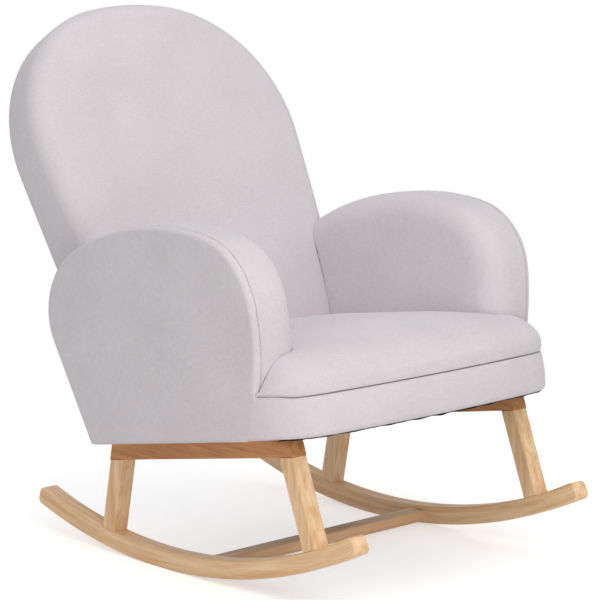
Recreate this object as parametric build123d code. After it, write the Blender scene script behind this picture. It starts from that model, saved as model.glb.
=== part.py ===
"""An upholstered rocking chair: an arched, padded shell on two wooden side frames with rockers.

Everything is drawn in the chair's own axes: X across the chair, Y along the top rails (the
sitter faces -Y) and Z square to the rails, with Z = 0 on top of them.  The finished pieces are
then leaned back to the attitude in which the chair rests on its rockers.
"""
from build123d import *
import math
import os

# ---------------------------------------------------------------- driving dimensions (mm, degrees)
LEAN = 10.2                  # the rails' slope at rest, down towards the rear

# wooden side frames
BASE_SETBACK = 55.0          # side frames' outer faces inside the arms' outer faces
TIMBER_WIDTH = 33.0          # every side frame timber, across the chair
EASED_EDGE = 2.0             # chamfer of the timbers' long edges
ROCKER_RADIUS = 1098.0       # running face
ROCKER_DEPTH = 33.0
ROCKER_CENTRE_Y = -155.0
ROCKER_CENTRE_Z = 853.5
ROCKER_FRONT_ANGLE = 27.3    # arc in front of the floor contact
ROCKER_REAR_ANGLE = 18.4     # arc behind it
ROCKER_TIP_RADIUS = 11.0
ROCKER_REST_FLAT = 70.0      # length of the slight flat on which the chair comes to rest
RAIL_DEPTH = 35.0
LEG_DEPTH = 33.0             # square to the leg
FRONT_LEG_TOP_Y = -349.7     # front edge of the front leg, at the rail's underside
FRONT_LEG_RAKE = 10.6
REAR_LEG_TOP_Y = 138.5       # rear edge of the rear leg, at the rail's underside
REAR_LEG_RAKE = 21.3
STRETCHER_ANGLE = 5.85       # arc from the floor contact forward to the stretcher
STRETCHER_WIDTH = 33.0
STRETCHER_DEPTH = 21.0
DOWEL_DIAMETER = 8.0
DOWEL_LENGTH = 32.0
DOWEL_SPACING = 16.0

# padded shell
SHELL_WIDTH = 686.0          # over the arms
ARM_THICKNESS = 110.0
ARM_HEIGHT = 378.0
ARM_FRONT_Y = -353.0         # foremost point of the arm's curve
ARM_FRONT_Z = 215.0          # height of that point
ARM_CREST_Y = -75.0          # highest point of the arm's curve
ARM_CREST_FRONT_RADIUS = 566.0
ARM_CREST_REAR_RADIUS = 572.0
ARM_SHOULDER_RADIUS = 123.0  # rear end of the arm's curve
ARM_SHIN_RADIUS = 413.0      # below the foremost point
ARM_REAR_FOOT_Y = 117.0      # rear corner of the arm, at the rails
ARM_REAR_RAKE = 20.9         # arm's rear edge against the square to the rails
ARM_OUTER_EDGE = 8.0         # rounding at the outer, stitched edge
ARM_INNER_EDGE = 36.0        # rounding at the inner edge
BACK_THICKNESS = 120.0       # between the arms
BACK_TOP_THICKNESS = 88.0
BACK_SLIM_HEIGHT = 330.0     # above this the back grows slimmer, along the back
BACK_RAKE = 19.4             # back's faces against the square to the rails
BACK_FOOT_Y = -8.0           # where the upper front face would meet the rails' plane
BACK_LENGTH = 847.5          # along the back
BACK_WIDTH = 618.0           # at its widest
BACK_ARCH_RISE = 298.0       # from the widest line to the top
BACK_CROWN_RADIUS = 560.0    # middle of the arch; the shoulders are tangent to it
BACK_TAPER = 6.0             # each side below the widest line
BACK_FRONT_EDGE = 32.0       # rounding round the front face
BACK_REAR_EDGE = 10.0        # rounding round the rear face
LUMBAR_HEIGHT = 316.0        # below this the front face stands steeper
LUMBAR_RAKE = 8.5
SEAT_FRONT_Y = -441.0        # middle of the bowed front
SEAT_FRONT_BOW = 38.0
SEAT_CORNER_RADIUS = 120.0
SEAT_REAR_Y = 107.0          # where the seat's crown ends, inside the back's foot
APRON_HEIGHT = 66.0
APRON_LOWER_EDGE = 6.0
SEAT_REAR_HEIGHT = 162.0     # top of the seat at the back
SEAT_FRONT_HEIGHT = 138.0    # top of the seat over its nose
SEAT_CROWN = 4.0
SEAT_NOSE_RADIUS = 48.0
SEAT_NOSE_REACH = 4.0        # the cushion's nose ahead of the apron
SOFT_GAP = 0.4               # between padded pieces

# hidden frame
SEAT_RAIL_THICKNESS = 22.0
SEAT_RAIL_DEPTH = 52.0
FRONT_RAIL_SETBACK = 60.0    # padding in front of the seat's front rail
CORNER_BLOCK_LEG = 45.0
CORNER_BLOCK_DEPTH = 38.0
SPRING_COUNT = 4
SPRING_WIRE = 3.8
SPRING_WIDTH = 46.0
SPRING_PITCH = 43.0          # between two bars of a spring
SPRING_SPACING = 100.0
CLIP_WIDTH = 14.0
CLIP_THICKNESS = 1.2
CLIP_CLEARANCE = 0.1
FELT_THICKNESS = 1.8
DUST_COVER_THICKNESS = 1.0
DUST_COVER_MARGIN = 5.0      # inside the wooden rails
STRINGER_WIDTH = 40.0
STRINGER_DEPTH = 40.0
STRINGER_FRONT_Y = -270.0
STRINGER_SETBACK = 64.0      # padding behind the stringer
ARM_PANEL_THICKNESS = 12.0
ARM_PANEL_INSET = 24.0       # padding over the panel's edge
ARM_PANEL_HOLE_DIAMETER = 110.0
ARM_PANEL_HOLE_SPACING = 150.0
PLY_THICKNESS = 18.0         # back frame
BACK_FRAME_DEPTH = 60.0      # foam from the back's front face to its frame
BACK_REAR_WALL = 6.0         # padding behind the hollow of the back
BACK_FRAME_INSET = 30.0
BACK_FRAME_WIDTH = 45.0
BACK_FRAME_FOOT = 40.0       # along the back
SLAT_WIDTH = 50.0
SLAT_HEIGHTS = (40.0, 170.0, 485.0)   # lower edges, along the back
WEBBING_COUNT = 3
WEBBING_PITCH = 80.0
WEBBING_MARGIN = 8.0         # the straps' ends stop short of the frame's edge
WEBBING_WIDTH = 50.0
WEBBING_THICKNESS = 1.6
BOLT_DIAMETER = 8.0
BOLT_HEAD_DIAMETER = 15.0
BOLT_HEAD_DEPTH = 5.0
WASHER_DIAMETER = 22.0
WASHER_THICKNESS = 1.6
BOLT_RECESS = 9.0            # counterbore that hides a frame bolt's head in the rail
BOLT_RECESS_CLEARANCE = 0.5  # round the washer
TEE_NUT_DIAMETER = 20.0
TEE_NUT_THICKNESS = 1.6
TEE_NUT_BARREL = 10.0
TEE_NUT_LENGTH = 10.0
FRAME_BOLT_PLACES = (-240.0, 25.0)
ARM_BOLT_PLACES = (-200.0, -30.0)
BACK_BOLT_X = 115.0

# ---------------------------------------------------------------- sizes that follow
ARM_OUTER = SHELL_WIDTH / 2
FRAME_OUTER = ARM_OUTER - BASE_SETBACK
FRAME_INNER = FRAME_OUTER - TIMBER_WIDTH
FRAME_MIDDLE = FRAME_OUTER - TIMBER_WIDTH / 2
ROCKER_TOP_RADIUS = ROCKER_RADIUS - ROCKER_DEPTH
ARM_INNER = ARM_OUTER - ARM_THICKNESS
SEAT_HALF = ARM_INNER - SOFT_GAP
STRINGER_INNER = FRAME_MIDDLE - STRINGER_WIDTH / 2
STRINGER_OUTER = STRINGER_INNER + STRINGER_WIDTH
FRONT_RAIL_Y = SEAT_FRONT_Y + FRONT_RAIL_SETBACK
FRONT_RAIL_REAR_Y = FRONT_RAIL_Y + SEAT_RAIL_THICKNESS
SPRING_Z = SEAT_RAIL_DEPTH + CLIP_THICKNESS + CLIP_CLEARANCE + SPRING_WIRE / 2
FELT_Z = SPRING_Z + SPRING_WIRE / 2 + CLIP_CLEARANCE + CLIP_THICKNESS + SOFT_GAP / 2
CUSHION_LOW_Z = FELT_Z + FELT_THICKNESS + SOFT_GAP / 2

# the back's own axes: local X across, local Y up along its front face, local Z to the rear
BACK_PLANE = Plane(
    origin=(0, BACK_FOOT_Y, 0),
    x_dir=(-1, 0, 0),
    z_dir=(0, math.cos(math.radians(BACK_RAKE)), -math.sin(math.radians(BACK_RAKE))),
)


# ---------------------------------------------------------------- helpers
def prism(outline, x0, x1):
    """Solid between x0 and x1 across the chair, from a closed outline drawn in (Y, Z)."""
    return extrude(Plane.YZ.offset(x0) * make_face(outline), amount=x1 - x0)


def block(x0, x1, y0, y1, z0, z1):
    """Rectangular block between two corners."""
    return Location(((x0 + x1) / 2, (y0 + y1) / 2, (z0 + z1) / 2)) * Box(x1 - x0, y1 - y0, z1 - z0)


def rod(start, end, diameter):
    """Round bar between two points."""
    axis = Vector(*end) - Vector(*start)
    return extrude(Plane(origin=start, z_dir=axis) * Circle(diameter / 2), amount=axis.length)


def polygon(*points):
    """Closed outline through the points."""
    return Polyline(*points, close=True)


def pair(solid):
    """A solid and its mirror image across the chair's middle."""
    return [solid, mirror(solid, about=Plane.YZ)]


def without(solid, *others):
    """What is left of a solid round other pieces."""
    for other in others:
        solid = solid - other
    return solid


def arc_between(centre, radius, start, end):
    """Arc round a centre from one angle to another, in degrees."""
    return CenterArc(centre, radius, start, end - start)


def direction(start, end):
    """Angle of the line from one point to another, in degrees."""
    return math.degrees(math.atan2(end.Y - start.Y, end.X - start.X))


def on_rocker(angle, radius):
    """Point (Y, Z) on an arc of the rocker; the angle runs rearwards from the floor contact."""
    turn = math.radians(angle + LEAN)
    return (ROCKER_CENTRE_Y + radius * math.sin(turn), ROCKER_CENTRE_Z - radius * math.cos(turn))


# ---------------------------------------------------------------- wooden side frames
def rest_flat_angle():
    """Half the arc that the rocker's flat spans."""
    return math.degrees(math.asin(ROCKER_REST_FLAT / 2 / ROCKER_RADIUS))


def rocker_arc(start, end, radius):
    """Arc of the rocker between two angles."""
    return ThreePointArc(*(on_rocker(angle, radius) for angle in (start, (start + end) / 2, end)))


def rocker():
    """Curved rocker with rounded ends and a slight flat where it rests."""
    front, rear, flat = -ROCKER_FRONT_ANGLE, ROCKER_REAR_ANGLE, rest_flat_angle()
    ahead = rocker_arc(front, -flat, ROCKER_RADIUS)
    behind = rocker_arc(flat, rear, ROCKER_RADIUS)
    upper = rocker_arc(rear, front, ROCKER_TOP_RADIUS)
    outline = [ahead, Line(ahead @ 1, behind @ 0), behind, Line(behind @ 1, upper @ 0), upper,
               Line(upper @ 1, ahead @ 0)]
    solid = prism(outline, FRAME_INNER, FRAME_OUTER)
    ends = (ahead @ 0, upper @ 1, behind @ 1, upper @ 0)
    tips = solid.edges().filter_by(Axis.X).filter_by(
        lambda e: min(math.dist((e.center().Y, e.center().Z), tuple(end)[:2]) for end in ends) < 1
    )
    solid = fillet(tips, ROCKER_TIP_RADIUS)
    sides = solid.faces().filter_by(Axis.X).edges()
    return chamfer(sides, EASED_EDGE)


def leg_edge_y(top_y, rake, z):
    """Y of a leg's outer edge at a height; the rake is positive towards the rear."""
    return top_y - math.tan(math.radians(rake)) * (z + RAIL_DEPTH)


def leg(top_y, rake):
    """Raked leg: flat top under the rail, foot shaped to the rocker's upper face."""
    inward = -math.copysign(LEG_DEPTH / math.cos(math.radians(rake)), rake)
    low = -RAIL_DEPTH - ROCKER_CENTRE_Z
    outer = [(leg_edge_y(top_y, rake, z), z) for z in (-RAIL_DEPTH, low)]
    inner = [(y + inward, z) for y, z in reversed(outer)]
    solid = prism(polygon(*outer, *inner), FRAME_INNER, FRAME_OUTER)
    long_edges = solid.edges().filter_by(lambda e: e.length > ROCKER_CENTRE_Z / 2)
    solid = chamfer(long_edges, EASED_EDGE)
    disc = Plane.YZ.offset(FRAME_INNER) * Pos(ROCKER_CENTRE_Y, ROCKER_CENTRE_Z) * Circle(ROCKER_TOP_RADIUS)
    return solid & extrude(disc, amount=TIMBER_WIDTH)


def top_rail():
    """Rail under the seat; its ends run on in line with the legs' outer edges."""
    front = [leg_edge_y(FRONT_LEG_TOP_Y, -FRONT_LEG_RAKE, z) for z in (-RAIL_DEPTH, 0)]
    rear = [leg_edge_y(REAR_LEG_TOP_Y, REAR_LEG_RAKE, z) for z in (-RAIL_DEPTH, 0)]
    outline = polygon((front[0], -RAIL_DEPTH), (rear[0], -RAIL_DEPTH), (rear[1], 0), (front[1], 0))
    solid = prism(outline, FRAME_INNER, FRAME_OUTER)
    return chamfer(solid.edges().filter_by(Axis.Y), EASED_EDGE)


def stretcher():
    """Flat bar between the rockers, level when the chair rests."""
    y, z = on_rocker(-STRETCHER_ANGLE, ROCKER_RADIUS - ROCKER_DEPTH / 2)
    bar = Box(2 * FRAME_INNER, STRETCHER_WIDTH, STRETCHER_DEPTH)
    bar = chamfer(bar.edges().filter_by(Axis.X), EASED_EDGE)
    return Location((0, y, z), (LEAN, 0, 0)) * bar


def leg_dowels():
    """Two dowels in every joint of the legs, on the right-hand side frame."""
    dowels = []
    half = DOWEL_LENGTH / 2
    for top_y, rake in ((FRONT_LEG_TOP_Y, -FRONT_LEG_RAKE), (REAR_LEG_TOP_Y, REAR_LEG_RAKE)):
        inward = -math.copysign(LEG_DEPTH / math.cos(math.radians(rake)) / 2, rake)
        head_y = top_y + inward
        foot_y, foot_angle = leg_foot(head_y, rake)
        for side in (-0.5, 0.5):
            y = head_y + side * DOWEL_SPACING
            dowels.append(rod((FRAME_MIDDLE, y, -RAIL_DEPTH - half),
                              (FRAME_MIDDLE, y, -RAIL_DEPTH + half), DOWEL_DIAMETER))
            angle = foot_angle + side * math.degrees(DOWEL_SPACING / ROCKER_TOP_RADIUS)
            ends = [on_rocker(angle, ROCKER_TOP_RADIUS + reach) for reach in (-half, half * 0.75)]
            dowels.append(rod(*((FRAME_MIDDLE, *end) for end in ends), DOWEL_DIAMETER))
    return dowels


def leg_foot(head_y, rake):
    """Where a leg's centre line meets the rocker: its Y, and its angle from the floor contact."""
    slope = math.tan(math.radians(rake))
    z = -RAIL_DEPTH
    for _ in range(20):
        y = head_y - slope * (z + RAIL_DEPTH)
        z = ROCKER_CENTRE_Z - math.sqrt(ROCKER_TOP_RADIUS ** 2 - (y - ROCKER_CENTRE_Y) ** 2)
    angle = math.degrees(math.asin((y - ROCKER_CENTRE_Y) / ROCKER_TOP_RADIUS)) - LEAN
    return y, angle


def stretcher_dowels():
    """Two dowels in the stretcher's right-hand end."""
    y, z = on_rocker(-STRETCHER_ANGLE, ROCKER_RADIUS - ROCKER_DEPTH / 2)
    slope = math.radians(LEAN)
    half = DOWEL_LENGTH / 2
    dowels = []
    for side in (-0.5, 0.5):
        dy = side * DOWEL_SPACING
        centre = (y + dy * math.cos(slope), z + dy * math.sin(slope))
        dowels.append(rod((FRAME_INNER - half, *centre), (FRAME_INNER + half, *centre), DOWEL_DIAMETER))
    return dowels


# ---------------------------------------------------------------- padded back
def back_half_width(height, inset=0.0):
    """Half the back's width at a height along it, below the widest line."""
    taper = math.radians(BACK_TAPER)
    drop = (BACK_LENGTH - BACK_ARCH_RISE - height) * math.tan(taper)
    return BACK_WIDTH / 2 - drop - inset / math.cos(taper)


def back_outline(inset=0.0, foot=0.0):
    """Arched outline in the back's own axes: straight tapering sides, tangent shoulders and crown."""
    taper = math.radians(BACK_TAPER)
    outward = Vector(math.cos(taper), -math.sin(taper))
    widest = Vector(BACK_WIDTH / 2, BACK_LENGTH - BACK_ARCH_RISE)
    crown = Vector(0, BACK_LENGTH - BACK_CROWN_RADIUS)
    reach = widest - crown
    radius = (BACK_CROWN_RADIUS ** 2 - reach.dot(reach)) / (2 * (BACK_CROWN_RADIUS - reach.dot(outward)))
    shoulder = widest - outward * radius
    turn = direction(crown, shoulder)
    right = arc_between(shoulder, radius - inset, -BACK_TAPER, turn)
    top = arc_between(crown, BACK_CROWN_RADIUS - inset, turn, 180 - turn)
    left = arc_between((-shoulder.X, shoulder.Y), radius - inset, 180 - turn, 180 + BACK_TAPER)
    low = back_half_width(foot, inset)
    legs = Polyline(left @ 1, (-low, foot), (low, foot), right @ 0)
    return make_face([right, top, left, legs])


def back_rear_wedge(inset=0.0):
    """Room behind the back's slimmer upper part; inset, it reaches into the padding."""
    rake = math.radians(BACK_RAKE)
    slimming = (BACK_THICKNESS - BACK_TOP_THICKNESS) / (BACK_LENGTH - BACK_SLIM_HEIGHT)
    depth = BACK_THICKNESS - inset
    top = 2 * BACK_LENGTH
    corners = [(BACK_SLIM_HEIGHT, depth), (top, depth - slimming * (top - BACK_SLIM_HEIGHT)),
               (top, 2 * BACK_THICKNESS), (BACK_SLIM_HEIGHT, 2 * BACK_THICKNESS)]
    outline = [(BACK_FOOT_Y + along * math.sin(rake) + behind * math.cos(rake),
                along * math.cos(rake) - behind * math.sin(rake)) for along, behind in corners]
    return prism(polygon(*outline), -BACK_WIDTH, BACK_WIDTH)


def back_slab(grow=0.0):
    """The padded back's solid; grown, it makes room for it in its neighbours."""
    outline = back_outline(-grow, -grow)
    slab = extrude(BACK_PLANE.offset(-grow) * outline, amount=BACK_THICKNESS + 2 * grow)
    tilt = math.tan(math.radians(LUMBAR_RAKE))
    rake = math.radians(BACK_RAKE)
    bend_y = BACK_FOOT_Y + LUMBAR_HEIGHT * math.tan(rake) - grow / math.cos(rake)
    reach = 2 * LUMBAR_HEIGHT
    drop = LUMBAR_HEIGHT + reach
    wedge = polygon(
        (bend_y - reach, LUMBAR_HEIGHT), (bend_y, LUMBAR_HEIGHT),
        (bend_y - tilt * drop, LUMBAR_HEIGHT - drop), (bend_y - reach, LUMBAR_HEIGHT - drop),
    )
    slab = without(slab, prism(wedge, -BACK_WIDTH, BACK_WIDTH), back_rear_wedge(-grow))
    front_loop = slab.faces().filter_by(lambda f: f.normal_at().Y < -0.5).edges()
    front_loop = front_loop.filter_by(lambda e: abs(e.center().X) > 1 or e.center().Z > LUMBAR_HEIGHT * 1.2)
    slab = fillet(front_loop, BACK_FRONT_EDGE)
    rear_loop = slab.faces().filter_by(lambda f: f.normal_at().Y > 0.5).edges()
    rear_loop = rear_loop.filter_by(
        lambda e: e.center().Z > 1 and (abs(e.center().X) > 1 or e.center().Z > BACK_LENGTH / 2)
    )
    slab = fillet(rear_loop, BACK_REAR_EDGE)
    return slab - block(-BACK_WIDTH, BACK_WIDTH, -BACK_LENGTH, BACK_LENGTH, -BACK_LENGTH, -grow)


# ---------------------------------------------------------------- padded arms
def arm_outline(inset=0.0, floor=0.0):
    """D-shaped outline of an arm in (Y, Z), from tangent arcs and one raked rear line."""
    rake = math.radians(ARM_REAR_RAKE)
    outward = Vector(math.cos(rake), -math.sin(rake))
    upward = Vector(math.sin(rake), math.cos(rake))
    foot = Vector(ARM_REAR_FOOT_Y, 0)
    crest_rear = Vector(ARM_CREST_Y, ARM_HEIGHT - ARM_CREST_REAR_RADIUS)
    crest_front = Vector(ARM_CREST_Y, ARM_HEIGHT - ARM_CREST_FRONT_RADIUS)

    # the rear shoulder's centre: touches the rear line and the crest's arc from inside
    base = foot - outward * ARM_SHOULDER_RADIUS - crest_rear
    reach = ARM_CREST_REAR_RADIUS - ARM_SHOULDER_RADIUS
    along = base.dot(upward)
    rise = -along + math.sqrt(along ** 2 - base.dot(base) + reach ** 2)
    shoulder = crest_rear + base + upward * rise

    # the nose's centre: touches the crest's arc from inside at the arm's foremost point
    ahead = ARM_FRONT_Y - ARM_CREST_Y
    above = ARM_FRONT_Z - crest_front.Y
    nose_radius = (ARM_CREST_FRONT_RADIUS ** 2 - ahead ** 2 - above ** 2) / (
        2 * (ahead + ARM_CREST_FRONT_RADIUS)
    )
    nose = Vector(ARM_FRONT_Y + nose_radius, ARM_FRONT_Z)
    shin = Vector(ARM_FRONT_Y + ARM_SHIN_RADIUS, ARM_FRONT_Z)

    shoulder_turn = direction(crest_rear, shoulder)
    nose_turn = direction(crest_front, nose)
    floor_turn = 180 + math.degrees(math.asin((ARM_FRONT_Z - floor) / (ARM_SHIN_RADIUS - inset)))
    curve = [
        arc_between(shoulder, ARM_SHOULDER_RADIUS - inset, -ARM_REAR_RAKE, shoulder_turn),
        arc_between(crest_rear, ARM_CREST_REAR_RADIUS - inset, shoulder_turn, 90),
        arc_between(crest_front, ARM_CREST_FRONT_RADIUS - inset, 90, nose_turn),
        arc_between(nose, nose_radius - inset, nose_turn, 180),
        arc_between(shin, ARM_SHIN_RADIUS - inset, 180, floor_turn),
    ]
    rear_foot = foot - outward * inset
    rear_foot += upward * ((floor - rear_foot.Y) / upward.Y)
    return [Line(rear_foot, curve[0] @ 0), *curve, Line(curve[-1] @ 1, rear_foot)]


def arm_solid(inset=0.0, inner=ARM_INNER, outer=ARM_OUTER):
    """Right arm as one rounded solid; a negative inset makes room for it in its neighbours."""
    solid = prism(arm_outline(inset), inner, outer)
    on_curve = solid.edges().filter_by(lambda e: e.center().Z > 1)
    outer_loop = on_curve.filter_by(lambda e: abs(e.center().X - outer) < 0.01)
    inner_loop = on_curve.filter_by(lambda e: abs(e.center().X - inner) < 0.01)
    solid = fillet(outer_loop, ARM_OUTER_EDGE)
    inner_loop = solid.edges().filter_by(
        lambda e: abs(e.center().X - inner) < 0.01 and e.center().Z > 1
    )
    return fillet(inner_loop, ARM_INNER_EDGE)


def arm_stringer():
    """Bottom timber of the right arm, on top of the wooden rail."""
    front = STRINGER_FRONT_Y
    rear = ARM_REAR_FOOT_Y - STRINGER_SETBACK
    return block(STRINGER_INNER, STRINGER_OUTER, front, rear, 0, STRINGER_DEPTH)


def arm_panel():
    """D-shaped plywood panel on the stringer's outer side, with two lightening holes."""
    outline = arm_outline(ARM_PANEL_INSET, DUST_COVER_THICKNESS * 4)
    solid = prism(outline, STRINGER_OUTER, STRINGER_OUTER + ARM_PANEL_THICKNESS)
    middle = (ARM_FRONT_Y + ARM_REAR_FOOT_Y) / 2
    for side in (-0.5, 0.5):
        y, z = middle + side * ARM_PANEL_HOLE_SPACING, ARM_HEIGHT / 2
        start = (STRINGER_OUTER - ARM_PANEL_THICKNESS, y, z)
        end = (STRINGER_OUTER + 2 * ARM_PANEL_THICKNESS, y, z)
        solid -= rod(start, end, ARM_PANEL_HOLE_DIAMETER)
    return solid


# ---------------------------------------------------------------- seat
def seat_plan(reach=0.0):
    """Plan outline of the seat's front: bowed, with round corners, open towards the rear."""
    front, half = SEAT_FRONT_Y - reach, ARM_OUTER - SOFT_GAP
    corner_y = front + SEAT_FRONT_BOW
    bow = ThreePointArc((-half, corner_y), (0, front), (half, corner_y))
    rear = Polyline((half, corner_y), (half, BACK_LENGTH), (-half, BACK_LENGTH), (-half, corner_y))
    face = make_face([bow, rear])
    corners = face.vertices().filter_by(lambda v: v.Y < 0)
    return fillet(corners, SEAT_CORNER_RADIUS)


def seat_apron():
    """Padded front of the seat base, round the front rail and in front of both arms."""
    solid = extrude(seat_plan(), amount=APRON_HEIGHT)
    lower_edge = solid.faces().sort_by(Axis.Z)[0].edges()
    solid = fillet(lower_edge, APRON_LOWER_EDGE)
    rear = block(-SHELL_WIDTH, SHELL_WIDTH, apron_rear_y(), 2 * BACK_LENGTH, -1, APRON_HEIGHT + 1)
    middle = block(-SEAT_HALF, SEAT_HALF, FRONT_RAIL_REAR_Y, 0, -1, APRON_HEIGHT + 1)
    top = block(-SEAT_HALF, SEAT_HALF, FRONT_RAIL_Y, 0, SEAT_RAIL_DEPTH, APRON_HEIGHT + 1)
    return without(solid, rear, middle, top)


def apron_rear_y():
    """How far the apron's corners run back along the arms' front at the rails."""
    drop = math.asin(ARM_FRONT_Z / ARM_SHIN_RADIUS)
    return ARM_FRONT_Y + ARM_SHIN_RADIUS * (1 - math.cos(drop))


def seat_cushion():
    """Crowned seat pad; its front corners wrap in front of the arms."""
    rear_y = SEAT_REAR_Y
    nose = SEAT_FRONT_Y - SEAT_NOSE_REACH
    low = APRON_HEIGHT + SOFT_GAP
    solid = extrude(Pos(0, 0, low) * seat_plan(SEAT_NOSE_REACH), amount=ARM_HEIGHT)
    crown = ThreePointArc(
        (nose, SEAT_FRONT_HEIGHT),
        ((nose + rear_y) / 2, (SEAT_FRONT_HEIGHT + SEAT_REAR_HEIGHT) / 2 + SEAT_CROWN),
        (rear_y, SEAT_REAR_HEIGHT),
    )
    section = [crown, Polyline(crown @ 1, (rear_y, low), (nose, low), crown @ 0)]
    solid &= prism(section, -SHELL_WIDTH, SHELL_WIDTH)
    front_loop = solid.faces().sort_by(Axis.Z)[-1].edges().filter_by(lambda e: e.center().Y < rear_y - 1)
    solid = fillet(front_loop, SEAT_NOSE_RADIUS)

    half = ARM_OUTER - SOFT_GAP
    shoulder, top = SEAT_HALF - SEAT_CROWN, SEAT_REAR_HEIGHT + SEAT_CROWN
    fall = ThreePointArc((half, low + SEAT_CROWN), ((half + shoulder) / 2, (low + top) / 2 + SEAT_CROWN),
                         (shoulder, top))
    front_view = Plane(origin=(0, -BACK_LENGTH, 0), x_dir=(1, 0, 0), z_dir=(0, -1, 0))
    outside = make_face([fall, Polyline(fall @ 1, (2 * half, top), (2 * half, low), (half, low), fall @ 0)])
    lobe_room = extrude(front_view * outside, amount=-2 * BACK_LENGTH)
    solid = without(solid, *pair(lobe_room))
    well = block(-SEAT_HALF, SEAT_HALF, FRONT_RAIL_Y, rear_y, CUSHION_LOW_Z, low)
    return solid + well


def seat_rails():
    """Seat frame: front and rear rails over the full width, side rails between them."""
    depth = SEAT_RAIL_DEPTH
    rear_face = BACK_FOOT_Y + back_front_recess(0) - 1
    rear_rail = block(-SEAT_HALF, SEAT_HALF, rear_face - SEAT_RAIL_THICKNESS, rear_face, 0, depth)
    front_rail = block(-FRAME_OUTER, FRAME_OUTER, FRONT_RAIL_Y, FRONT_RAIL_REAR_Y, 0, depth)
    side_rail = block(SEAT_HALF - SEAT_RAIL_THICKNESS, SEAT_HALF,
                      FRONT_RAIL_REAR_Y, rear_face - SEAT_RAIL_THICKNESS, 0, depth)
    return front_rail, rear_rail, side_rail


def back_front_recess(z):
    """How far the back's steeper foot stands behind BACK_FOOT_Y at a height."""
    upper = math.tan(math.radians(BACK_RAKE))
    lower = math.tan(math.radians(LUMBAR_RAKE))
    return LUMBAR_HEIGHT * upper - (LUMBAR_HEIGHT - z) * lower


def corner_blocks():
    """Triangular glue blocks in the seat frame's four corners."""
    _, rear_rail, side_rail = seat_rails()
    side_x = side_rail.bounding_box().min.X
    leg_length = CORNER_BLOCK_LEG
    low = (SEAT_RAIL_DEPTH - CORNER_BLOCK_DEPTH) / 2
    blocks = []
    for y, step in ((FRONT_RAIL_REAR_Y, leg_length), (rear_rail.bounding_box().min.Y, -leg_length)):
        corner = make_face(polygon((side_x, y), (side_x - leg_length, y), (side_x, y + step)))
        blocks += pair(extrude(Pos(0, 0, low) * corner, amount=CORNER_BLOCK_DEPTH, dir=(0, 0, 1)))
    return blocks


def spring_path(start_y, end_y):
    """Zigzag centre line of one sinuous spring, flat in the seat's plane."""
    half = SPRING_WIDTH / 2
    turns = int((end_y - start_y) // SPRING_PITCH)
    pitch = (end_y - start_y) / turns
    points = [(0, start_y)]
    for turn in range(turns):
        side = half if turn % 2 == 0 else -half
        points += [(side, start_y + turn * pitch), (side, start_y + (turn + 1) * pitch)]
    points.append((0, end_y))
    return Polyline(*points)


def seat_springs():
    """Sinuous wire springs from the front rail to the rear rail."""
    front_y, rear_y = spring_ends()
    path = Pos(0, 0, SPRING_Z) * spring_path(front_y, rear_y)
    section = Plane(origin=path @ 0, z_dir=path % 0) * Rectangle(SPRING_WIRE, SPRING_WIRE)
    spring = sweep(section, path=path, transition=Transition.RIGHT)
    return [Pos(x, 0, 0) * spring for x in spring_places()]


def spring_ends():
    """Y of the springs' ends, in the middle of the front and rear rails."""
    front_rail, rear_rail, _ = seat_rails()
    return front_rail.center().Y, rear_rail.center().Y


def spring_places():
    """X of each spring."""
    first = -SPRING_SPACING * (SPRING_COUNT - 1) / 2
    return [first + index * SPRING_SPACING for index in range(SPRING_COUNT)]


def spring_clips():
    """Folded clips, nailed on the rails, that close round the springs' end bars."""
    clips = []
    for x in spring_places():
        for y, open_to in zip(spring_ends(), (1, -1)):
            clips.append(Location((x + SPRING_WIDTH / 4, y, SEAT_RAIL_DEPTH)) * spring_clip(open_to))
    return clips


def spring_clip(open_to):
    """One clip on its rail; it opens towards the rear (1) or the front (-1)."""
    bore = SPRING_WIRE / 2 + CLIP_CLEARANCE
    wall = bore + CLIP_THICKNESS
    height = 2 * wall
    solid = block(-CLIP_WIDTH / 2, CLIP_WIDTH / 2, -2.2 * wall, wall, 0, height)
    solid -= block(-CLIP_WIDTH, CLIP_WIDTH, -bore, 2 * wall, CLIP_THICKNESS, height - CLIP_THICKNESS)
    solid -= block(-CLIP_WIDTH, CLIP_WIDTH, -3 * wall, -wall, CLIP_THICKNESS, 2 * height)
    return solid if open_to > 0 else mirror(solid, about=Plane.XZ)


def spring_cover():
    """Felt between the springs and the seat pad."""
    half = SEAT_HALF - SEAT_RAIL_THICKNESS
    _, rear_rail, _ = seat_rails()
    rear_y = rear_rail.bounding_box().max.Y
    return block(-half, half, FRONT_RAIL_Y + SOFT_GAP, rear_y, FELT_Z, FELT_Z + FELT_THICKNESS)


def dust_cover():
    """Black cloth tacked under the seat, between the wooden rails."""
    half = FRAME_INNER - DUST_COVER_MARGIN
    front_y = SEAT_FRONT_Y + SEAT_FRONT_BOW + APRON_LOWER_EDGE
    _, rear_rail, _ = seat_rails()
    return block(-half, half, front_y, rear_rail.bounding_box().max.Y, -DUST_COVER_THICKNESS, 0)


# ---------------------------------------------------------------- back frame
def back_layer(outline, depth, thickness):
    """Sheet of the back's inner build-up, at a depth behind the back's front face."""
    return extrude(BACK_PLANE.offset(depth) * outline, amount=thickness)


def back_band(low, high):
    """Region of the back between two heights along it, to cut slats and straps."""
    middle = Pos(0, (low + high) / 2) * Rectangle(2 * BACK_WIDTH, high - low)
    return extrude(BACK_PLANE.offset(-BACK_THICKNESS) * middle, amount=3 * BACK_THICKNESS)


def back_frame():
    """Arched plywood frame, open at the foot."""
    inner = BACK_FRAME_INSET + BACK_FRAME_WIDTH
    outline = back_outline(BACK_FRAME_INSET, BACK_FRAME_FOOT) - back_outline(inner, 0)
    return back_layer(outline, BACK_FRAME_DEPTH, PLY_THICKNESS)


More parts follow.
